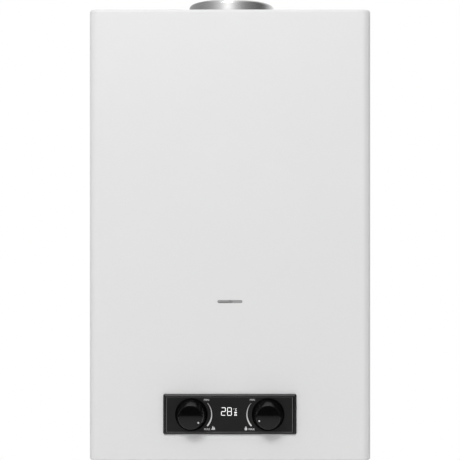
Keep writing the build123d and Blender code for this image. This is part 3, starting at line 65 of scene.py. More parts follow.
# Camera, matched to the photograph's frame of 460 x 460
view = {"place": (0.038, -1.62, -0.208), "tilt": 90.0, "lens": 96.4, "sensor": 36.0, "shiftX": -0.0699}

lens = bpy.data.cameras.new("photoLens")
lens.lens = view["lens"]
lens.sensor_width = view["sensor"]
lens.shift_x = view["shiftX"]
camera = addObject("photoCamera", lens)
camera.location = view["place"]
camera.rotation_euler = (math.radians(view["tilt"]), 0, 0)
bpy.context.scene.camera = camera
bpy.context.scene.view_settings.view_transform = "Standard"
print("camera set")


# A value on its way to a socket: sums on it add Math nodes
class Reading:
    def __init__(self, wiring, socket):
        self.wiring = wiring
        self.socket = socket

    def maths(self, operation, other, flipped=False):
        pair = {0: other, 1: self} if flipped else {0: self, 1: other}
        return self.wiring.node("ShaderNodeMath", {"operation": operation}, pair)

    def __add__(self, other):
        return self.maths("ADD", other)

    def __sub__(self, other):
        return self.maths("SUBTRACT", other)

    def __rsub__(self, other):
        return self.maths("SUBTRACT", other, True)

    def __mul__(self, other):
        return self.maths("MULTIPLY", other)

    __radd__ = __add__
    __rmul__ = __mul__


def opaque(shade):
    return (*shade, 1) if isinstance(shade, tuple) else shade


def shaded(colour, factor):
    return tuple(channel * factor for channel in colour)


# Noise lies about the middle of 0 to 1, so this swings to both sides of nought
def swing(pattern, spread):
    return (pattern - 0.5) * spread


# A node tree being wired: any node comes from node(), with its settings first and then its sockets
class Wiring:
    def __init__(self, tree, coordinates=None):
        self.tree = tree
        if coordinates:
            self.where = self.node("ShaderNodeTexCoord", {}, {}, coordinates)

    def feed(self, socket, value):
        for one in value if isinstance(value, list) else [value]:
            if isinstance(one, Reading):
                self.tree.links.new(one.socket, socket)
            else:
                socket.default_value = one

    def setStops(self, ramp, stops):
        while len(ramp.elements) < len(stops):
            ramp.elements.new(1)
        for element, (spot, shade) in zip(ramp.elements, stops):
            element.position = spot
            element.color = opaque(shade if isinstance(shade, tuple) else (shade, shade, shade))

    def node(self, kind, settings, sockets, output=0):
        made = self.tree.nodes.new(kind)
        for key, value in settings.items():
            if key == "stops":
                self.setStops(made.color_ramp, value)
            else:
                setattr(made, key, value)
        for key, value in sockets.items():
            self.feed(made.inputs[key], value)
        return Reading(self, made.outputs[output]) if made.outputs else None

    def ramp(self, value, *stops):
        return self.node("ShaderNodeValToRGB", {"stops": stops}, {"Fac": value})

    def axis(self, name):
        return self.node("ShaderNodeSeparateXYZ", {}, {"Vector": self.where}, name)

    def redOf(self, colour):
        return self.node("ShaderNodeSeparateColor", {}, {"Color": colour})

    def ray(self, kind):
        return self.node("ShaderNodeLightPath", {}, {}, f"Is {kind} Ray")

    def between(self, value, low, high):
        return self.node("ShaderNodeMapRange", {"interpolation_type": "SMOOTHSTEP"}, {
            "Value": value, "From Min": low, "From Max": high})


# A material: its shader, and the patterns that the finishes share
class Finish(Wiring):
    sockets = {
        "colour": "Base Color", "rough": "Roughness", "metal": "Metallic", "sheen": "Specular IOR Level",
        "coat": "Coat Weight", "coatRough": "Coat Roughness", "normal": "Normal", "alpha": "Alpha",
        "glow": "Emission Color", "glowStrength": "Emission Strength"}

    def __init__(self, name):
        self.material = bpy.data.materials.new(name)
        self.material.use_nodes = True
        self.material.node_tree.nodes.clear()
        super().__init__(self.material.node_tree, "Object")
        self.surface = self.node("ShaderNodeBsdfPrincipled", {}, {})
        self.node("ShaderNodeOutputMaterial", {}, {"Surface": self.surface})

    def dress(self, **values):
        shader = self.surface.socket.node
        for key, value in values.items():
            self.feed(shader.inputs[self.sockets[key]], opaque(value))
        return self.material

    def spot(self, stretch):
        return self.node("ShaderNodeMapping", {}, {"Vector": self.where, "Scale": stretch})

    def noise(self, scale, detail, stretch=(1, 1, 1)):
        return self.node("ShaderNodeTexNoise", {}, {
            "Vector": self.spot(stretch), "Scale": scale, "Detail": detail})

    def cells(self, scale, output="Distance", stretch=(1, 1, 1)):
        return self.node("ShaderNodeTexVoronoi", {}, {"Vector": self.spot(stretch), "Scale": scale}, output)

    # Soft-edged patches where a pattern is high, or where it is low
    def patches(self, pattern, edge, high=1.0):
        return self.ramp(pattern, (edge[0], 1 - high), (edge[1], high))

    def blend(self, share, first, second):
        return self.node("ShaderNodeMix", {"data_type": "RGBA"}, {
            0: share, 6: opaque(first), 7: opaque(second)}, 2)

    def toned(self, share, colour, low, high):
        return self.blend(share, shaded(colour, low), shaded(colour, high))

    def bump(self, height, depth, strength):
        return self.node("ShaderNodeBump", {}, {"Height": height, "Distance": depth, "Strength": strength})


# Finishes by the record's material slots
finishes = {}


# Satin stove paint: fine orange peel, slight drift in tone and gloss
def satinPaint(name, look):
    finish = Finish(name)
    drift = finish.noise(look["driftScale"], detail=3.0)
    peel = finish.noise(look["peelScale"], detail=2.0)
    dust = finish.patches(finish.noise(look["dustScale"], detail=1.0), look["dustEdge"])
    tone = finish.toned(drift, look["colour"], 1 - look["spread"], 1 + look["spread"])
    return finish.dress(
        colour=finish.blend(dust * look["dustShare"], tone, shaded(look["colour"], look["dustTone"])),
        rough=look["rough"] + swing(drift, look["roughSpread"]) + dust * look["dustRough"],
        sheen=look["sheen"],
        normal=finish.bump(peel, look["peelDepth"], look["peelStrength"]),
    )


finishes["cover_paint"] = satinPaint("coverPaint", {
    "colour": (0.82, 0.82, 0.82), "spread": 0.006, "driftScale": 9.0, "rough": 0.42, "roughSpread": 0.06,
    "sheen": 0.5, "peelScale": 520.0, "peelDepth": 0.00002, "peelStrength": 0.25, "dustScale": 900.0,
    "dustEdge": (0.72, 0.78), "dustShare": 0.05, "dustTone": 0.85, "dustRough": 0.1})


# Sheet steel dipped in zinc: crystals a few millimetres wide, white bloom in places
def zincSheet(name, look):
    finish = Finish(name)
    crystal = finish.redOf(finish.cells(look["crystal"], "Color"))
    streak = finish.noise(look["streak"], detail=3.0, stretch=look["along"])
    bloom = finish.patches(finish.noise(look["bloom"], detail=4.0), look["bloomEdge"])
    metal = finish.toned(crystal, look["colour"], look["dark"], look["bright"])
    relief = crystal * look["crystalRise"] + streak * (1 - look["crystalRise"])
    return finish.dress(
        colour=finish.blend(bloom * look["bloomShare"], metal, look["bloomColour"]),
        metal=1 - bloom * look["bloomDull"],
        rough=look["rough"] + crystal * look["crystalRough"] + bloom * look["bloomRough"],
        normal=finish.bump(relief, look["depth"], look["strength"]),
    )


finishes["galvanised"] = zincSheet("zincSheet", {
    "colour": (0.6, 0.61, 0.62), "dark": 0.78, "bright": 1.12, "crystal": 190.0, "crystalRise": 0.6,
    "crystalRough": 0.14, "streak": 400.0, "along": (1, 1, 0.12), "bloom": 14.0, "bloomEdge": (0.55, 0.72),
    "bloomColour": (0.62, 0.63, 0.63), "bloomShare": 0.45, "bloomDull": 0.4, "bloomRough": 0.2, "rough": 0.3,
    "depth": 0.00004, "strength": 0.5})


# Rolled or drawn metal: grain along one axis, faint smears, darker where it was handled
def grainedMetal(name, look):
    finish = Finish(name)
    grain = finish.noise(look["grain"], detail=4.0, stretch=look["along"])
    handled = finish.patches(finish.noise(look["smear"], detail=3.0), look["handledEdge"])
    metal = finish.toned(grain, look["colour"], 1 - look["spread"], 1 + look["spread"])
    return finish.dress(
        colour=finish.blend(handled * look["tarnish"], metal, look["tarnishColour"]),
        metal=1.0,
        rough=look["rough"] + swing(grain, look["roughSpread"]) + handled * look["handledRough"],
        normal=finish.bump(grain, look["depth"], look["strength"]),
    )


flueSteel = {
    "colour": (0.66, 0.66, 0.66), "spread": 0.1, "grain": 700.0, "along": (0.05, 0.05, 1.0), "smear": 22.0,
    "handledEdge": (0.45, 0.7), "handledRough": 0.08, "tarnish": 0.15, "tarnishColour": (0.42, 0.41, 0.4),
    "rough": 0.2, "roughSpread": 0.12, "depth": 0.00003, "strength": 0.35}
finishes["flue_steel"] = grainedMetal("flueSteel", flueSteel)
finishes["burner_steel"] = grainedMetal("burnerSteel", {
    **flueSteel, "colour": (0.5, 0.49, 0.47), "along": (1.0, 1.0, 0.08), "tarnish": 0.6,
    "tarnishColour": (0.3, 0.22, 0.17), "smear": 45.0, "rough": 0.32})
finishes["screw_steel"] = grainedMetal("screwPlating", {
    **flueSteel, "colour": (0.62, 0.6, 0.52), "grain": 1500.0, "along": (1, 1, 1), "smear": 90.0,
    "rough": 0.28})
finishes["brass"] = grainedMetal("turnedBrass", {
    **flueSteel, "colour": (0.72, 0.53, 0.25), "grain": 900.0, "along": (0.12, 0.12, 1.0), "smear": 55.0,
    "tarnish": 0.35, "tarnishColour": (0.34, 0.23, 0.12), "rough": 0.25, "roughSpread": 0.15,
    "strength": 0.4})


# Copper near a flame: bright where it runs cool, browned and rainbow-edged near the burner
def heatedCopper(name, look):
    finish = Finish(name)
    mottle = finish.noise(look["mottle"], detail=4.0)
    grain = finish.noise(look["grain"], detail=3.0, stretch=look["along"])
    drop = (finish.axis("Z") - look["coolZ"]) * (1 / (look["hotZ"] - look["coolZ"]))
    heat = drop + swing(mottle, look["drift"])
    tint = finish.ramp(heat, *((spot, look[shade]) for spot, shade in look["heatStops"]))
    return finish.dress(
        colour=finish.blend(grain * look["grainShare"], tint, look["dark"]),
        metal=1.0,
        rough=look["rough"] + mottle * look["mottleRough"],
        normal=finish.bump((grain + mottle) * 0.5, look["depth"], look["strength"]),
    )


copper = {
    "colour": (0.74, 0.38, 0.24), "brown": (0.42, 0.19, 0.11), "violet": (0.3, 0.17, 0.2),
    "dark": (0.1, 0.06, 0.05),
    "heatStops": ((0.0, "colour"), (0.45, "brown"), (0.68, "violet"), (0.85, "dark")),
    "coolZ": -0.04, "hotZ": -0.31, "mottle": 26.0, "drift": 0.5, "mottleRough": 0.14, "grain": 420.0,
    "along": (1, 1, 0.2), "grainShare": 0.25, "rough": 0.24, "depth": 0.00004, "strength": 0.4}
finishes["copper"] = heatedCopper("heatedCopper", copper)
# Water pipes stay cool: the same copper, barely browned
pipeCopper = heatedCopper("pipeCopper", {**copper, "coolZ": 0.15, "hotZ": -1.6, "rough": 0.2})
coolPipes = ("coil_pipe", "hot_pipe", "return_bends")


# Die-cast alloy: grainy skin with tiny pits and a dull bloom
def castSkin(name, look):
    finish = Finish(name)
    grit = finish.noise(look["grit"], detail=4.0)
    flow = finish.noise(look["flow"], detail=3.0)
    skin = finish.patches(finish.cells(look["pits"]), look["pitEdge"])
    return finish.dress(
        colour=finish.toned(flow, look["colour"], look["dark"], look["bright"]),
        metal=1.0,
        rough=look["rough"] + swing(flow, look["roughSpread"]) + (1 - skin) * look["pitRough"],
        normal=finish.bump((grit + skin) * 0.5, look["depth"], look["strength"]),
    )


finishes["cast_alloy"] = castSkin("castAlloy", {
    "colour": (0.62, 0.63, 0.64), "dark": 0.82, "bright": 1.08, "grit": 900.0, "flow": 30.0, "pits": 700.0,
    "pitEdge": (0.04, 0.16), "pitRough": 0.1, "rough": 0.42, "roughSpread": 0.2, "depth": 0.00008,
    "strength": 0.6})


# Moulded plastic: spark-eroded grain, faint flow marks and a few scuffs
def mouldedPlastic(name, look):
    finish = Finish(name)
    grain = finish.noise(look["grain"], detail=3.0)
    flow = finish.noise(look["flow"], detail=2.0)
    rubbed = finish.noise(look["scuff"], detail=2.0, stretch=look["scuffAlong"])
    scuff = finish.patches(rubbed, look["scuffEdge"])
    tone = finish.toned(flow, look["colour"], look["dark"], look["bright"])
    return finish.dress(
        colour=finish.blend(scuff * look["scuffShare"], tone, look["scuffColour"]),
        rough=look["rough"] + swing(flow, look["roughSpread"]) + scuff * look["scuffRough"],
        sheen=look["sheen"],
        normal=finish.bump(grain, look["depth"], look["strength"]),
    )


plastic = {
    "dark": 0.9, "bright": 1.1, "grain": 2600.0, "flow": 35.0, "scuff": 160.0, "scuffAlong": (1, 0.08, 1),
    "scuffEdge": (0.66, 0.74), "scuffShare": 0.25, "scuffRough": 0.06, "rough": 0.45, "roughSpread": 0.1,
    "depth": 0.00003, "strength": 0.45, "sheen": 0.5}
gloss = {
    **plastic, "grain": 900.0, "depth": 0.000004, "strength": 0.2, "scuffShare": 0.02, "roughSpread": 0.03,
    "scuffColour": (0.05, 0.05, 0.05)}
finishes["coil_black"] = mouldedPlastic("coilLacquer", {
    **plastic, "colour": (0.05, 0.05, 0.055), "scuffColour": (0.3, 0.3, 0.31), "rough": 0.35})
finishes["dark_plastic"] = mouldedPlastic("darkMoulding", {
    **plastic, "colour": (0.05, 0.05, 0.054), "scuffColour": (0.2, 0.2, 0.2)})
finishes["pale_plastic"] = mouldedPlastic("paleMoulding", {
    **plastic, "colour": (0.72, 0.72, 0.68), "scuffColour": (0.5, 0.48, 0.42)})
finishes["bezel_black"] = mouldedPlastic("bezelSatin", {
    **gloss, "colour": (0.006, 0.006, 0.006), "rough": 0.16, "sheen": 0.56})
finishes["fascia_grey"] = mouldedPlastic("fasciaGloss", {
    **gloss, "colour": (0.005, 0.005, 0.005), "rough": 0.34, "sheen": 0.34})
finishes["display_dark"] = mouldedPlastic("displayGlass", {
    **gloss, "colour": (0.01, 0.01, 0.012), "rough": 0.12})


# Knob moulding: glossy flank, and a polished face under a hard clear coat
def knobMoulding(name, look):
    finish = Finish(name)
    grain = finish.noise(look["grain"], detail=3.0)
    flow = finish.noise(look["flow"], detail=2.0)
    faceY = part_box("gas_knob")[0].y + look["faceDepth"] * mm
    return finish.dress(
        colour=finish.toned(flow, look["colour"], look["dark"], look["bright"]),
        rough=look["rough"] + swing(flow, look["roughSpread"]),
        sheen=look["sheen"],
        coat=finish.axis("Y").maths("LESS_THAN", faceY) * look["coat"],
        coatRough=look["coatRough"],
        normal=finish.bump(grain, look["depth"], look["strength"]),
    )


finishes["knob_black"] = knobMoulding("knobGloss", {
    **gloss, "colour": (0.0022, 0.0022, 0.0022), "rough": 0.14, "sheen": 0.03, "coat": 0.76,
    "coatRough": 0.06, "faceDepth": 1.35})


# Ceramic, rubber and silicone: chalky bloom over a fine matt grain
def softSkin(name, look):
    finish = Finish(name)
    grain = finish.noise(look["grain"], detail=3.0)
    bloom = finish.patches(finish.noise(look["bloom"], detail=4.0), look["bloomEdge"])
    return finish.dress(
        colour=finish.blend(bloom * look["bloomShare"], look["colour"], look["bloomColour"]),
        rough=look["rough"] + bloom * look["bloomRough"],
        normal=finish.bump(grain, look["depth"], look["strength"]),
    )


sleeve = {
    "bloom": 120.0, "bloomEdge": (0.5, 0.75), "bloomShare": 0.4, "bloomRough": 0.12, "grain": 2200.0,
    "rough": 0.5, "depth": 0.00003, "strength": 0.5}
finishes["white_ceramic"] = softSkin("ceramicSkin", {
    **sleeve, "colour": (0.84, 0.82, 0.77), "bloomColour": (0.6, 0.52, 0.42), "bloomShare": 0.35,
    "bloom": 60.0, "grain": 1800.0, "depth": 0.00004})
finishes["black_rubber"] = softSkin("blackRubber", {
    **sleeve, "colour": (0.03, 0.03, 0.03), "bloomColour": (0.12, 0.12, 0.12), "bloomShare": 0.5,
    "bloom": 80.0, "grain": 1500.0, "depth": 0.00005, "rough": 0.7})
finishes["red_lead"] = softSkin("redSleeve", {
    **sleeve, "colour": (0.5, 0.045, 0.03), "bloomColour": (0.6, 0.2, 0.16)})
finishes["white_lead"] = softSkin("whiteSleeve", {
    **sleeve, "colour": (0.76, 0.75, 0.72), "bloomColour": (0.6, 0.57, 0.5)})


# Green solder mask over copper tracks, with pads where parts are soldered
def circuitBoard(name, look):
    finish = Finish(name)
    upright = finish.node("ShaderNodeMapping", {}, {
        "Vector": finish.where, "Rotation": (math.radians(90), 0, 0)})
    track = finish.node("ShaderNodeTexBrick", {"offset": look["stagger"]}, {
        "Vector": upright, "Scale": look["track"], "Mortar Size": look["trackWidth"], "Color1": (0, 0, 0, 1),
        "Color2": (0, 0, 0, 1), "Mortar": (1, 1, 1, 1)}, "Color")
    pads = finish.patches(finish.cells(look["pads"]), look["padEdge"], high=0.0)
    mask = finish.toned(track, look["colour"], 1.0, look["trackTone"])
    return finish.dress(
        colour=finish.blend(pads, mask, look["solder"]),
        metal=pads * look["padMetal"],
        rough=look["rough"] + pads * look["padRough"],
        normal=finish.bump(
            track * (1 - look["padRise"]) + pads * look["padRise"], look["depth"], look["strength"]),
    )


finishes["board_green"] = circuitBoard("solderMask", {
    "colour": (0.02, 0.12, 0.05), "track": 90.0, "trackWidth": 0.03, "trackTone": 1.7, "stagger": 0.35,
    "solder": (0.6, 0.6, 0.6), "pads": 420.0, "padEdge": (0.1, 0.14), "padMetal": 0.9, "padRough": 0.1,
    "padRise": 0.6, "rough": 0.35, "depth": 0.00004, "strength": 0.6})


# Printed sleeve of a dry cell: foil at both ends and a gold band below the top
def cellSleeve(name, look):
    finish = Finish(name)
    height = (finish.axis("Z") - look["foot"]) * (1 / look["length"])
    band = finish.ramp(height, *((spot, look[shade]) for spot, shade in look["bands"]))
    wear = finish.noise(look["wear"], detail=3.0)
    return finish.dress(
        colour=finish.blend(wear * look["wearShare"], band, shaded(look["colour"], look["wearTone"])),
        metal=look["metal"],
        rough=look["rough"] + wear * look["wearRough"],
        normal=finish.bump(wear, look["depth"], look["strength"]),
    )


finishes["cell_jacket"] = cellSleeve("cellSleeve", {
    "foot": -0.4776, "length": 0.0612, "colour": (0.06, 0.12, 0.24), "gold": (0.5, 0.36, 0.12),
    "foil": (0.6, 0.6, 0.6),
    "bands": ((0.0, "foil"), (0.04, "colour"), (0.7, "colour"), (0.72, "gold"), (0.95, "foil")),
    "wear": 140.0, "wearShare": 0.2, "wearTone": 0.6, "wearRough": 0.12, "metal": 0.5, "rough": 0.3,
    "depth": 0.00003, "strength": 0.3})


# Mica pane: silvery layers with darker flakes
def micaSheet(name, look):
    finish = Finish(name)
    flake = finish.redOf(finish.cells(look["flakeScale"], "Color", look["flakeAlong"]))
    layer = finish.noise(look["layer"], detail=4.0, stretch=look["layerAlong"])
    dark = finish.patches((flake + layer) * look["weight"], look["darkEdge"], high=0.0)
    return finish.dress(
        colour=finish.blend(dark, look["colour"], look["flake"]),
        rough=look["rough"] + dark * look["darkRough"],
        normal=finish.bump(layer, look["depth"], look["strength"]),
    )


finishes["mica"] = micaSheet("micaSheet", {
    "colour": (0.36, 0.36, 0.36), "flake": (0.19, 0.188, 0.184), "flakeScale": 330.0,
    "flakeAlong": (0.5, 1, 1), "layer": 200.0, "layerAlong": (0.4, 1, 1), "weight": 0.6,
    "darkEdge": (0.35, 0.6), "darkRough": 0.2, "rough": 0.3, "depth": 0.00006, "strength": 0.5})


# Screen-printed ink, also laid as the painted highlight on the fascia edge: thin, faintly mottled
def printAndHighlightInk(name, look):
    finish = Finish(name)
    mesh = finish.noise(look["mesh"], detail=2.0)
    return finish.dress(
        colour=finish.toned(mesh, look["colour"], look["thin"], 1.0),
        rough=look["rough"] + mesh * look["meshRough"],
        glow=finish.toned(mesh, look["colour"], look["glow"] * look["dim"], look["glow"]),
        glowStrength=1.0,
        normal=finish.bump(mesh, look["depth"], look["strength"]),
    )


ink = {
    "mesh": 1500.0, "thin": 0.92, "rough": 0.4, "meshRough": 0.1, "glow": 0.0, "dim": 0.94, "depth": 0.00002,
    "strength": 0.3}
inkWhite = printAndHighlightInk("printWhite", {**ink, "colour": (0.74, 0.74, 0.74)})
# The grey and the dull ink below paint the highlight on the fascia's bevelled edge, the dull one dimmer along
# the top
edgeHighlightInk = printAndHighlightInk("printGrey", {**ink, "colour": (0.17, 0.17, 0.17)})
topEdgeHighlightInk = printAndHighlightInk("printDull", {**ink, "colour": (0.04, 0.04, 0.04)})
litSegments = printAndHighlightInk("litSegments", {
    **ink, "colour": (0.84, 0.84, 0.84), "mesh": 700.0, "rough": 0.3, "glow": 0.7})

for part in frame["record"]["subparts"]:
    coating = pipeCopper if part["node"] in coolPipes else finishes[part["material_slot"]]
    for slot in nodes[part["node"]].material_slots:
        slot.material = coating
print("finishes made:", len(bpy.data.materials))


def addPiece(name, mesh, coating, body):
    mesh.materials.clear()
    mesh.materials.append(coating)
    piece = addObject(name, mesh)
    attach(piece, body)
    return piece


# The evaluated shape of an object as a plain mesh; the object itself goes
def plainMesh(maker):
    mesh = bpy.data.meshes.new_from_object(maker.evaluated_get(bpy.context.evaluated_depsgraph_get()))
    bpy.data.objects.remove(maker)
    return mesh


def keptMesh(name, shape):
    mesh = bpy.data.meshes.new(name)
    shape.to_mesh(mesh)
    shape.free()
    return mesh


def circlePoints(middle, radius, steps):
    angles = [2 * math.pi * step / steps for step in range(steps)]
    return [(middle[0] + radius * math.cos(angle), middle[1] + radius * math.sin(angle)) for angle in angles]


# Faces between two rings of corners
def bridge(shape, lower, upper):
    steps = len(lower)
    return [shape.faces.new((lower[step], lower[(step + 1) % steps], upper[(step + 1) % steps], upper[step]))
            for step in range(steps)]


# Flat shapes given in mm across and up, raised from one depth to another in front of the wall
def raisedMesh(name, outlines, rear, front):
    shape = bmesh.new()
    for outline in outlines:
        rings = [[shape.verts.new((x * mm, -out * mm, z * mm)) for x, z in outline] for out in (rear, front)]
        for ring in rings:
            shape.faces.new(ring)
        bridge(shape, *rings)
    bmesh.ops.recalc_face_normals(shape, faces=shape.faces)
    return keptMesh(name, shape)


# Prints on the fascia, all in mm from the wall and from the middle between the hanging holes
prints = {"rear": 173.55, "front": 173.64, "centreZ": -424.5}


def addPrint(name, outlines, coating, rear=prints["rear"]):
    addPiece(name, raisedMesh(name, outlines, rear, prints["front"]), coating, "casing")


# Tapered scales beside the knobs, round at the wide end
scales = {
    "shift": -0.56, "centreX": 40.88, "radius": 20.2, "startAngle": 41.8, "endAngle": -40.2,
    "startWidth": 0.2, "endWidth": 1.82, "steps": 28, "capSteps": 8}


def taperedScale(side):
    def placed(x, z):
        return scales["shift"] + side * (x - scales["centreX"]), prints["centreZ"] + z

    inner, outer, cap = [], [], []
    for step in range(scales["steps"] + 1):
        share = step / scales["steps"]
        angle = math.radians(scales["startAngle"] + (scales["endAngle"] - scales["startAngle"]) * share)
        half = (scales["startWidth"] + (scales["endWidth"] - scales["startWidth"]) * share) / 2
        for rim, radius in ((inner, scales["radius"] - half), (outer, scales["radius"] + half)):
            rim.append(placed(radius * math.cos(angle), radius * math.sin(angle)))
    end = math.radians(scales["endAngle"])
    for step in range(1, scales["capSteps"]):
        turn = end - math.pi * step / scales["capSteps"]
        cap.append(placed(scales["radius"] * math.cos(end) + scales["endWidth"] / 2 * math.cos(turn),
                          scales["radius"] * math.sin(end) + scales["endWidth"] / 2 * math.sin(turn)))
    return outer + cap + inner[::-1]


for side, name in ((1, "gasScale"), (-1, "waterScale")):
    addPrint(name, [taperedScale(side)], inkWhite)

# Words at the ends of the scales
words = {
    "shift": -0.4, "extrude": 0.1, "depth": 0.09, "curveSteps": 4,
    "minSize": (5.9, 2.3), "minPlace": (26.95, -407.45), "minWeight": 0.0,
    "maxSize": (7.2, 2.4), "maxPlace": (26.1, -441.85), "maxWeight": 0.015}


def wordMesh(name, word, side):
    face = bpy.data.curves.new(name, "FONT")
    face.body = word.upper()
    face.extrude = words["extrude"]
    face.offset = words[word + "Weight"]
    face.resolution_u = words["curveSteps"]
    mesh = plainMesh(addObject(name, face))
    (width, height), (x, z) = words[word + "Size"], words[word + "Place"]
    low, high = ([pick(corner.co[i] for corner in mesh.vertices) for i in range(3)] for pick in (min, max))
    for corner in mesh.vertices:
        across, up, out = ((corner.co[i] - low[i]) / (high[i] - low[i]) for i in range(3))
        corner.co = ((words["shift"] + side * x + (across - 0.5) * width) * mm,
                     -(prints["front"] + (out - 1) * words["depth"]) * mm, (z + (up - 0.5) * height) * mm)
    mesh.update()
    return mesh


for side, knob in ((-1, "gas"), (1, "water")):
    for word in ("min", "max"):
        name = knob + word.title()
        addPiece(name, wordMesh(name, word, side), inkWhite, "casing")

# Small signs beside the words: three tongues of flame, and a drop
signs = {
    "flameSign": {"place": (-19.4, -440.3), "outlines": [
        [(-2.1, -2.3), (-1.25, -2.3), (-1.4, -1.4), (-1.45, -0.4), (-1.75, -0.9), (-2.1, -1.6)],
        [(-1.0, -2.3), (0.2, -2.3), (0.45, -1.0), (0.3, 0.4), (-0.3, 1.4), (-0.5, 2.5), (-1.0, 1.6),
         (-1.2, 0.2), (-1.2, -1.0)],
        [(0.45, -2.3), (1.9, -2.3), (2.0, -1.3), (1.6, -0.1), (1.0, 1.1), (0.55, 1.3), (0.6, 0.2),
         (0.65, -1.0)]]},
    "dropSign": {"place": (18.9, -440.8), "outlines": [
        [(0.1, 2.7), (-0.5, 1.5), (-1.2, 0.4), (-1.65, -0.6), (-1.55, -1.6), (-0.9, -2.3), (0.1, -2.5),
         (1.0, -2.3), (1.6, -1.5), (1.65, -0.5), (1.1, 0.6), (0.5, 1.6)]]},
}
for name, sign in signs.items():
    x, z = sign["place"]
    addPrint(name, [[(x + a, z + b) for a, b in outline] for outline in sign["outlines"]], inkWhite)

# Painted highlight: a fine pale line laid in the bevelled edge of the fascia where it catches light, mitred
# at the corners, with a duller painted highlight along the top
border = {"left": -74.5, "right": 73.85, "foot": -445.6, "top": -404.4, "line": 0.45, "rear": 173.05}


def edgeStrips():
    inward = {"left": 1, "right": -1, "foot": 1, "top": -1}
    corners = (("left", "top"), ("left", "foot"), ("right", "foot"), ("right", "top"))
    outer = [(border[side], border[level]) for side, level in corners]
    inner = [(border[side] + inward[side] * border["line"], border[level] + inward[level] * border["line"])
             for side, level in corners]
    return [[outer[step - 1], outer[step], inner[step], inner[step - 1]] for step in range(4)]


topStrip, *sideStrips = edgeStrips()
# Painted highlight on the sides and foot of the fascia edge, dimmer painted highlight along its top
addPrint("fasciaEdgeHighlight", sideStrips, edgeHighlightInk, rear=border["rear"])
addPrint("fasciaTopEdgeHighlight", [topStrip], topEdgeHighlightInk, rear=border["rear"])

# Lit digits: seven segments each, with mitred ends
digits = {
    "width": 5.4, "height": 9.7, "stroke": 0.74, "gap": 0.06, "middleZ": -421.15,
    "shown": {"tensDigit": (-7.5, "abged"), "unitsDigit": (-0.38, "abcdefg")},
    "ends": {"a": ("lt", "rt"), "b": ("rt", "rm"), "c": ("rm", "rb"), "d": ("lb", "rb"), "e": ("lm", "lb"),
             "f": ("lt", "lm"), "g": ("lm", "rm")}}


def segmentOutlines(centre, shown):
    half = digits["stroke"] / 2
    right, top = ((digits[key] - digits["stroke"]) / 2 for key in ("width", "height"))
    across = {"l": -right, "r": right}
    level = {"t": top, "m": 0, "b": -top}
    outlines = []
    for letter in shown:
        start, end = (Vector((across[key[0]], level[key[1]])) for key in digits["ends"][letter])
        along = (end - start).normalized()
        aside = Vector((-along.y, along.x)) * half
        start, end = start + along * digits["gap"], end - along * digits["gap"]
        near, far = start + along * half, end - along * half
        ring = (start, near + aside, far + aside, end, far - aside, near - aside)
        outlines.append([(centre + corner.x, digits["middleZ"] + corner.y) for corner in ring])
    return outlines


for name, (centre, shown) in digits["shown"].items():
    addPrint(name, segmentOutlines(centre, shown), litSegments)

# Degree sign: a dot and a squared letter
degree = {"dot": (4.95, -418.15), "dotRadius": 0.34, "dotSteps": 10, "left": 6.65, "right": 8.3,
          "top": -417.7, "foot": -420.35, "stroke": 0.4}
left, right, top, foot = (degree[key] for key in ("left", "right", "top", "foot"))
hollowLeft, hollowTop, hollowFoot = left + degree["stroke"], top - degree["stroke"], foot + degree["stroke"]
squaredC = [(right, top), (left, top), (left, foot), (right, foot), (right, hollowFoot),
            (hollowLeft, hollowFoot), (hollowLeft, hollowTop), (right, hollowTop)]
dot = circlePoints(degree["dot"], degree["dotRadius"], degree["dotSteps"])
addPrint("degreeSign", [dot, squaredC], litSegments)

# Sign below it: a domed body, a bar and two feet, as middle, size and corner cut
blocks = {"body": (6.75, -422.25, 3.05, 1.3, 0.5), "bar": (6.75, -423.8, 2.8, 0.4, 0.1),
          "footLeft": (5.98, -425.3, 1.3, 1.4, 0.2), "footRight": (7.55, -425.3, 1.3, 1.4, 0.2)}


def cutBlock(x, z, width, height, cut):
    a, b = width / 2, height / 2
    corners = ((cut - a, -b), (a - cut, -b), (a, cut - b), (a, b - cut), (a - cut, b), (cut - a, b),
               (-a, b - cut), (-a, cut - b))
    return [(x + across, z + up) for across, up in corners]


addPrint("waterSign", [cutBlock(*block) for block in blocks.values()], litSegments)
print("prints and digits made")

# White ink in the marker dots of the knob faces
dots = {"circle": 11.2, "radius": 1.0, "floor": 0.8, "face": 0.28, "steps": 24,
        "angles": {"gas": -34.5, "water": 202.5}}
for knob, angle in dots["angles"].items():
    low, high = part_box(knob + "_knob")
    turn = math.radians(angle)
    middle = ((low.x + high.x) / 2 / mm + dots["circle"] * math.cos(turn),
              prints["centreZ"] + dots["circle"] * math.sin(turn))
    front = -low.y / mm
    name = knob + "Dot"
    outline = circlePoints(middle, dots["radius"], dots["steps"])
    mesh = raisedMesh(name, [outline], front - dots["floor"], front - dots["face"])
    addPiece(name, mesh, inkWhite, knob + "_control")
print("marker dots made")


# Geometry Nodes: a tree with named inputs, grown on a mesh and kept as a plain mesh
def newTree(name, inputs):
    tree = bpy.data.node_groups.new(name, "GeometryNodeTree")
    tree.interface.new_socket("Geometry", in_out="INPUT", socket_type="NodeSocketGeometry")
    for label, kind in inputs.items():
        tree.interface.new_socket(label, in_out="INPUT", socket_type="NodeSocket" + kind)
    tree.interface.new_socket("Geometry", in_out="OUTPUT", socket_type="NodeSocketGeometry")
    wiring = Wiring(tree)
    return wiring, {label: wiring.node("NodeGroupInput", {}, {}, label) for label in ("Geometry", *inputs)}


def endTree(wiring, shape, coating):
    whole = wiring.node("GeometryNodeRealizeInstances", {}, {"Geometry": shape})
    coated = wiring.node("GeometryNodeSetMaterial", {}, {"Geometry": whole, "Material": coating})
    wiring.node("NodeGroupOutput", {}, {0: coated})


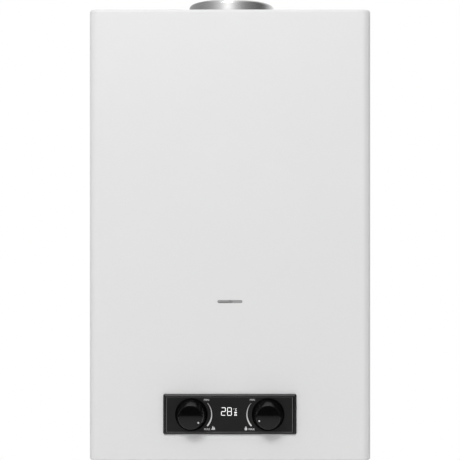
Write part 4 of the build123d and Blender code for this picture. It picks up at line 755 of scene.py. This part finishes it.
def grownMesh(name, mesh, wiring, values):
    seed = addObject(name, mesh)
    modifier = seed.modifiers.new("growth", "NODES")
    modifier.node_group = wiring.tree
    for item in wiring.tree.interface.items_tree:
        if item.in_out == "INPUT" and item.name in values:
            modifier[item.identifier] = values[item.name]
    grown = plainMesh(seed)
    grown.name = name
    return grown


# Windings: a wire laid in a helix from its start, joined to what it is grown on
windings = {"stepsPerTurn": 40}
windTree, given = newTree("windings", {
    "Turns": "Float", "Length": "Float", "Radius": "Float", "Wire": "Float", "Sides": "Int", "Tilt": "Vector",
    "Start": "Vector", "Finish": "Material"})
spiral = windTree.node("GeometryNodeCurveSpiral", {}, {
    "Resolution": windings["stepsPerTurn"], "Rotations": given["Turns"], "Height": given["Length"],
    "Start Radius": given["Radius"], "End Radius": given["Radius"]})
wire = windTree.node("GeometryNodeCurvePrimitiveCircle", {}, {
    "Resolution": given["Sides"], "Radius": given["Wire"]})
helix = windTree.node("GeometryNodeCurveToMesh", {}, {
    "Curve": spiral, "Profile Curve": wire, "Fill Caps": True})
placed = windTree.node("GeometryNodeTransform", {}, {
    "Geometry": helix, "Translation": given["Start"], "Rotation": given["Tilt"]})
joined = windTree.node("GeometryNodeJoinGeometry", {}, {"Geometry": [given["Geometry"], placed]})
endTree(windTree, joined, given["Finish"])


# A turned shape: outline of (radius, height) spun about an upright axis, all in metres
def turnedMesh(name, outline, middle, steps=56):
    lathe = bmesh.new()
    rings = [[lathe.verts.new((x, y, height)) for x, y in circlePoints(middle, radius, steps)]
             for radius, height in outline]
    for lower, upper in zip(rings, rings[1:] + rings[:1]):
        bridge(lathe, lower, upper)
    bmesh.ops.recalc_face_normals(lathe, faces=lathe.faces)
    return keptMesh(name, lathe)


# Pipe unions: hexagon, neck and shoulder with a rolled pipe thread on the tail
union = {
    "bore": 6.5, "neck": 11.0, "shoulder": 12.0, "shoulderDrop": 4.0, "root": 9.5, "crest": 10.46,
    "pitch": 1.814, "ridgeSides": 6, "runOut": 1.2, "bevel": 1.2, "bevelIn": 0.6, "plateTop": 1.4,
    "caseBottom": -480.0, "hex": 16.0, "hexRings": ((1.4, 0.955), (1.9, 1.0), (8.6, 1.0), (9.4, 0.93))}


def unionMesh(name, node):
    low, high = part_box(node)
    middle = ((low.x + high.x) / 2, (low.y + high.y) / 2)
    bore, neck, shoulder, root, crest, bevel = (
        union[key] * mm for key in ("bore", "neck", "shoulder", "root", "crest", "bevel"))
    foot = union["caseBottom"] * mm
    plateTop = foot + union["plateTop"] * mm
    shoulderEnd = foot - union["shoulderDrop"] * mm
    outline = [(bore, high.z), (neck, high.z), (neck, plateTop), (shoulder, plateTop),
               (shoulder, shoulderEnd), (root, shoulderEnd), (root, low.z + bevel),
               (root - bevel * union["bevelIn"], low.z), (bore, low.z)]
    body = bmesh.new()
    body.from_mesh(turnedMesh(name, outline, middle))
    rings = []
    for height, share in union["hexRings"]:
        hexagon = circlePoints(middle, union["hex"] * share * mm, 6)
        rings.append([body.verts.new((x, y, foot + height * mm)) for x, y in hexagon])
    hexFaces = [body.faces.new(rings[0]), body.faces.new(rings[-1])]
    for lower, upper in zip(rings, rings[1:]):
        hexFaces += bridge(body, lower, upper)
    bmesh.ops.recalc_face_normals(body, faces=hexFaces)
    ridge = (crest - root) / 2
    length = shoulderEnd - low.z - bevel - union["runOut"] * mm
    return grownMesh(name, keptMesh(name, body), windTree, {
        "Turns": length / (union["pitch"] * mm), "Length": length, "Radius": root + ridge, "Wire": ridge,
        "Sides": union["ridgeSides"], "Start": (*middle, low.z + bevel), "Finish": finishes["brass"]})


for node in ("hot_union", "gas_union", "cold_union"):
    name = node.split("_")[0] + "UnionThreaded"
    piece = addPiece(name, unionMesh(name, node), finishes["brass"], "casing")
    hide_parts(node)
print("unions threaded")

# Poppet spring, pressed together against the closing cap as the rod slides: here a coil wound to the length
# of its part
spring = {"turns": 6.0, "wire": 0.6, "sides": 12, "capX": -72.0, "travel": 4.0}
low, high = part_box("poppet_spring")
middle = ((low.y + high.y) / 2, (low.z + high.z) / 2)
wireRadius = spring["wire"] * mm
springMesh = grownMesh("poppetCoil", bpy.data.meshes.new("poppetCoil"), windTree, {
    "Turns": spring["turns"], "Length": high.x - low.x - 2 * wireRadius,
    "Radius": (high.z - low.z) / 2 - wireRadius, "Wire": wireRadius, "Sides": spring["sides"],
    "Tilt": (0.0, math.radians(90), 0.0), "Start": (low.x + wireRadius, *middle),
    "Finish": finishes["burner_steel"]})
piece = addPiece("poppetCoil", springMesh, finishes["burner_steel"], "casing")
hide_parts("poppet_spring")
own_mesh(piece)
print("spring wound")

# Finger ribs under the battery door
ribs = {"count": 7, "pitch": 3.2, "length": 26.0, "radius": 0.7, "sides": 12, "fromFront": 6.0}
ribTree, given = newTree("doorRibs", {
    "Count": "Int", "Pitch": "Float", "Length": "Float", "Radius": "Float", "Sides": "Int", "Start": "Vector",
    "Finish": "Material"})
spots = ribTree.node("GeometryNodeMeshLine", {}, {
    "Count": given["Count"], "Start Location": given["Start"],
    "Offset": ribTree.node("ShaderNodeCombineXYZ", {}, {"Y": given["Pitch"]})})
ribLine = ribTree.node("GeometryNodeCurvePrimitiveLine", {}, {
    "Start": ribTree.node("ShaderNodeCombineXYZ", {}, {"X": given["Length"] * -0.5}),
    "End": ribTree.node("ShaderNodeCombineXYZ", {}, {"X": given["Length"] * 0.5})})
ribRound = ribTree.node("GeometryNodeCurvePrimitiveCircle", {}, {
    "Resolution": given["Sides"], "Radius": given["Radius"]})
bar = ribTree.node("GeometryNodeCurveToMesh", {}, {
    "Curve": ribLine, "Profile Curve": ribRound, "Fill Caps": True})
rows = ribTree.node("GeometryNodeInstanceOnPoints", {}, {"Points": spots, "Instance": bar})
endTree(ribTree, rows, given["Finish"])
low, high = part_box("battery_door")
ribMesh = grownMesh("doorRibs", bpy.data.meshes.new("doorRibs"), ribTree, {
    "Count": ribs["count"], "Pitch": ribs["pitch"] * mm, "Length": ribs["length"] * mm,
    "Radius": ribs["radius"] * mm, "Sides": ribs["sides"],
    "Start": ((low.x + high.x) / 2, low.y + ribs["fromFront"] * mm, low.z),
    "Finish": finishes["dark_plastic"]})
addPiece("doorRibs", ribMesh, finishes["dark_plastic"], "door")
print("door ribs made")

# Studio lamps: a front and an overhead soft box
lamps = {
    "keySoftbox": {
        "place": (-0.5, -3.4, 1.84), "aim": (0, -0.17, -0.25), "size": (1.3, 1.0), "power": 66.9,
        "glossy": True},
    "topSoftbox": {
        "place": (-0.8, -0.15, 1.5), "aim": (0, -0.15, -0.1), "size": (1.6, 0.5), "power": 7.0,
        "glossy": False},
}
for name, lamp in lamps.items():
    light = bpy.data.lights.new(name, "AREA")
    light.shape = "RECTANGLE"
    light.size, light.size_y = lamp["size"]
    light.energy = lamp["power"]
    box = addObject(name, light)
    box.location = lamp["place"]
    box.rotation_euler = (Vector(lamp["aim"]) - Vector(lamp["place"])).to_track_quat("-Z", "Y").to_euler()
    box.visible_glossy = lamp["glossy"]

# Paper floor: pale to the camera and white at its edges, darker to the front in reflections, clear from below
floor = {
    "z": -0.8, "front": -3.0, "back": 1.2, "half": 3.0, "colour": (0.86, 0.86, 0.86), "thin": 0.98,
    "fibre": 220.0, "rough": 0.85, "sheen": 0.1, "depth": 0.0002, "strength": 0.2, "lift": (0.4, 0.4, 0.4),
    "fade": (0.6, 1.15), "near": -0.9, "far": -3.25, "farShare": 0.35}
black, white = (0.0, 0.0, 0.0), (1.0, 1.0, 1.0)


def floorPaper(name, look):
    paper = Finish(name)
    fibre = paper.noise(look["fibre"], detail=3.0)
    nearness = paper.node("ShaderNodeMapRange", {}, {
        "Value": paper.axis("Y"), "From Min": look["far"], "From Max": look["near"],
        "To Min": look["farShare"]})
    reach = paper.node("ShaderNodeVectorMath", {"operation": "LENGTH"}, {
        "Vector": paper.spot((1, 1, 0))}, "Value")
    seen = paper.ray("Camera")
    below = paper.node("ShaderNodeNewGeometry", {}, {}, "Backfacing")
    tone = paper.toned(fibre, look["colour"], look["thin"], 1.0)
    lift = paper.blend(paper.between(reach, *look["fade"]), look["lift"], white)
    return paper.dress(
        colour=paper.blend(paper.ray("Glossy") * (1 - nearness), tone, black),
        rough=look["rough"],
        sheen=look["sheen"],
        glow=paper.blend(seen, black, lift),
        glowStrength=1.0,
        normal=paper.bump(fibre, look["depth"], look["strength"]),
        alpha=1 - below * seen,
    )


floorMesh = bpy.data.meshes.new("studioFloor")
half, front, back, level = (floor[key] for key in ("half", "front", "back", "z"))
floorMesh.from_pydata(
    [(-half, front, level), (half, front, level), (half, back, level), (-half, back, level)], [],
    [(0, 1, 2, 3)])
floorMesh.materials.append(floorPaper("floorPaper", floor))
addObject("studioFloor", floorMesh)

# Surround: white to the camera; in gloss a ring of light and dusk, dark low in front and bright overhead
surround = {
    "ambient": 0.42, "white": 1.0, "frontDark": 0.02, "brightest": 1.5, "zenith": 0.7,
    "rise": (0.04, 0.13), "behind": (0.0, 0.3), "overhead": (0.75, 0.95),
    "ring": ((0.0, 0.4), (0.092, 0.31), (0.169, 0.25), (0.267, 0.25), (0.342, 0.33), (0.408, 0.58),
             (0.469, 0.88), (0.531, 0.58), (0.592, 0.3), (0.658, 0.18), (0.733, 0.11), (0.778, 0.15),
             (0.831, 0.38), (0.908, 0.66)),
}
world = bpy.data.worlds.new("studioSurround")
bpy.context.scene.world = world
world.use_nodes = True
world.node_tree.nodes.clear()
sky = Wiring(world.node_tree, "Generated")
across, deep, up = (sky.axis(name) for name in "XYZ")
turn = across.maths("ARCTAN2", 0 - deep) * (0.5 / math.pi) + 0.5
ring = sky.redOf(sky.ramp(turn, *surround["ring"])) * surround["brightest"]
lifted = sky.between(up, *surround["rise"]).maths("MAXIMUM", sky.between(deep, *surround["behind"]))
overhead = sky.between(up, *surround["overhead"])
gleam = ring * lifted + (1 - lifted) * surround["frontDark"] + overhead * surround["zenith"]
seen = (sky.ray("Camera") + sky.ray("Transmission")).maths("MINIMUM", 1.0)
glossy = sky.ray("Glossy")
strength = seen * surround["white"] + (1 - seen) * (glossy * gleam + (1 - glossy) * surround["ambient"])
background = sky.node("ShaderNodeBackground", {}, {"Color": (*white, 1), "Strength": strength})
sky.node("ShaderNodeOutputWorld", {}, {"Surface": background})
print("studio set")
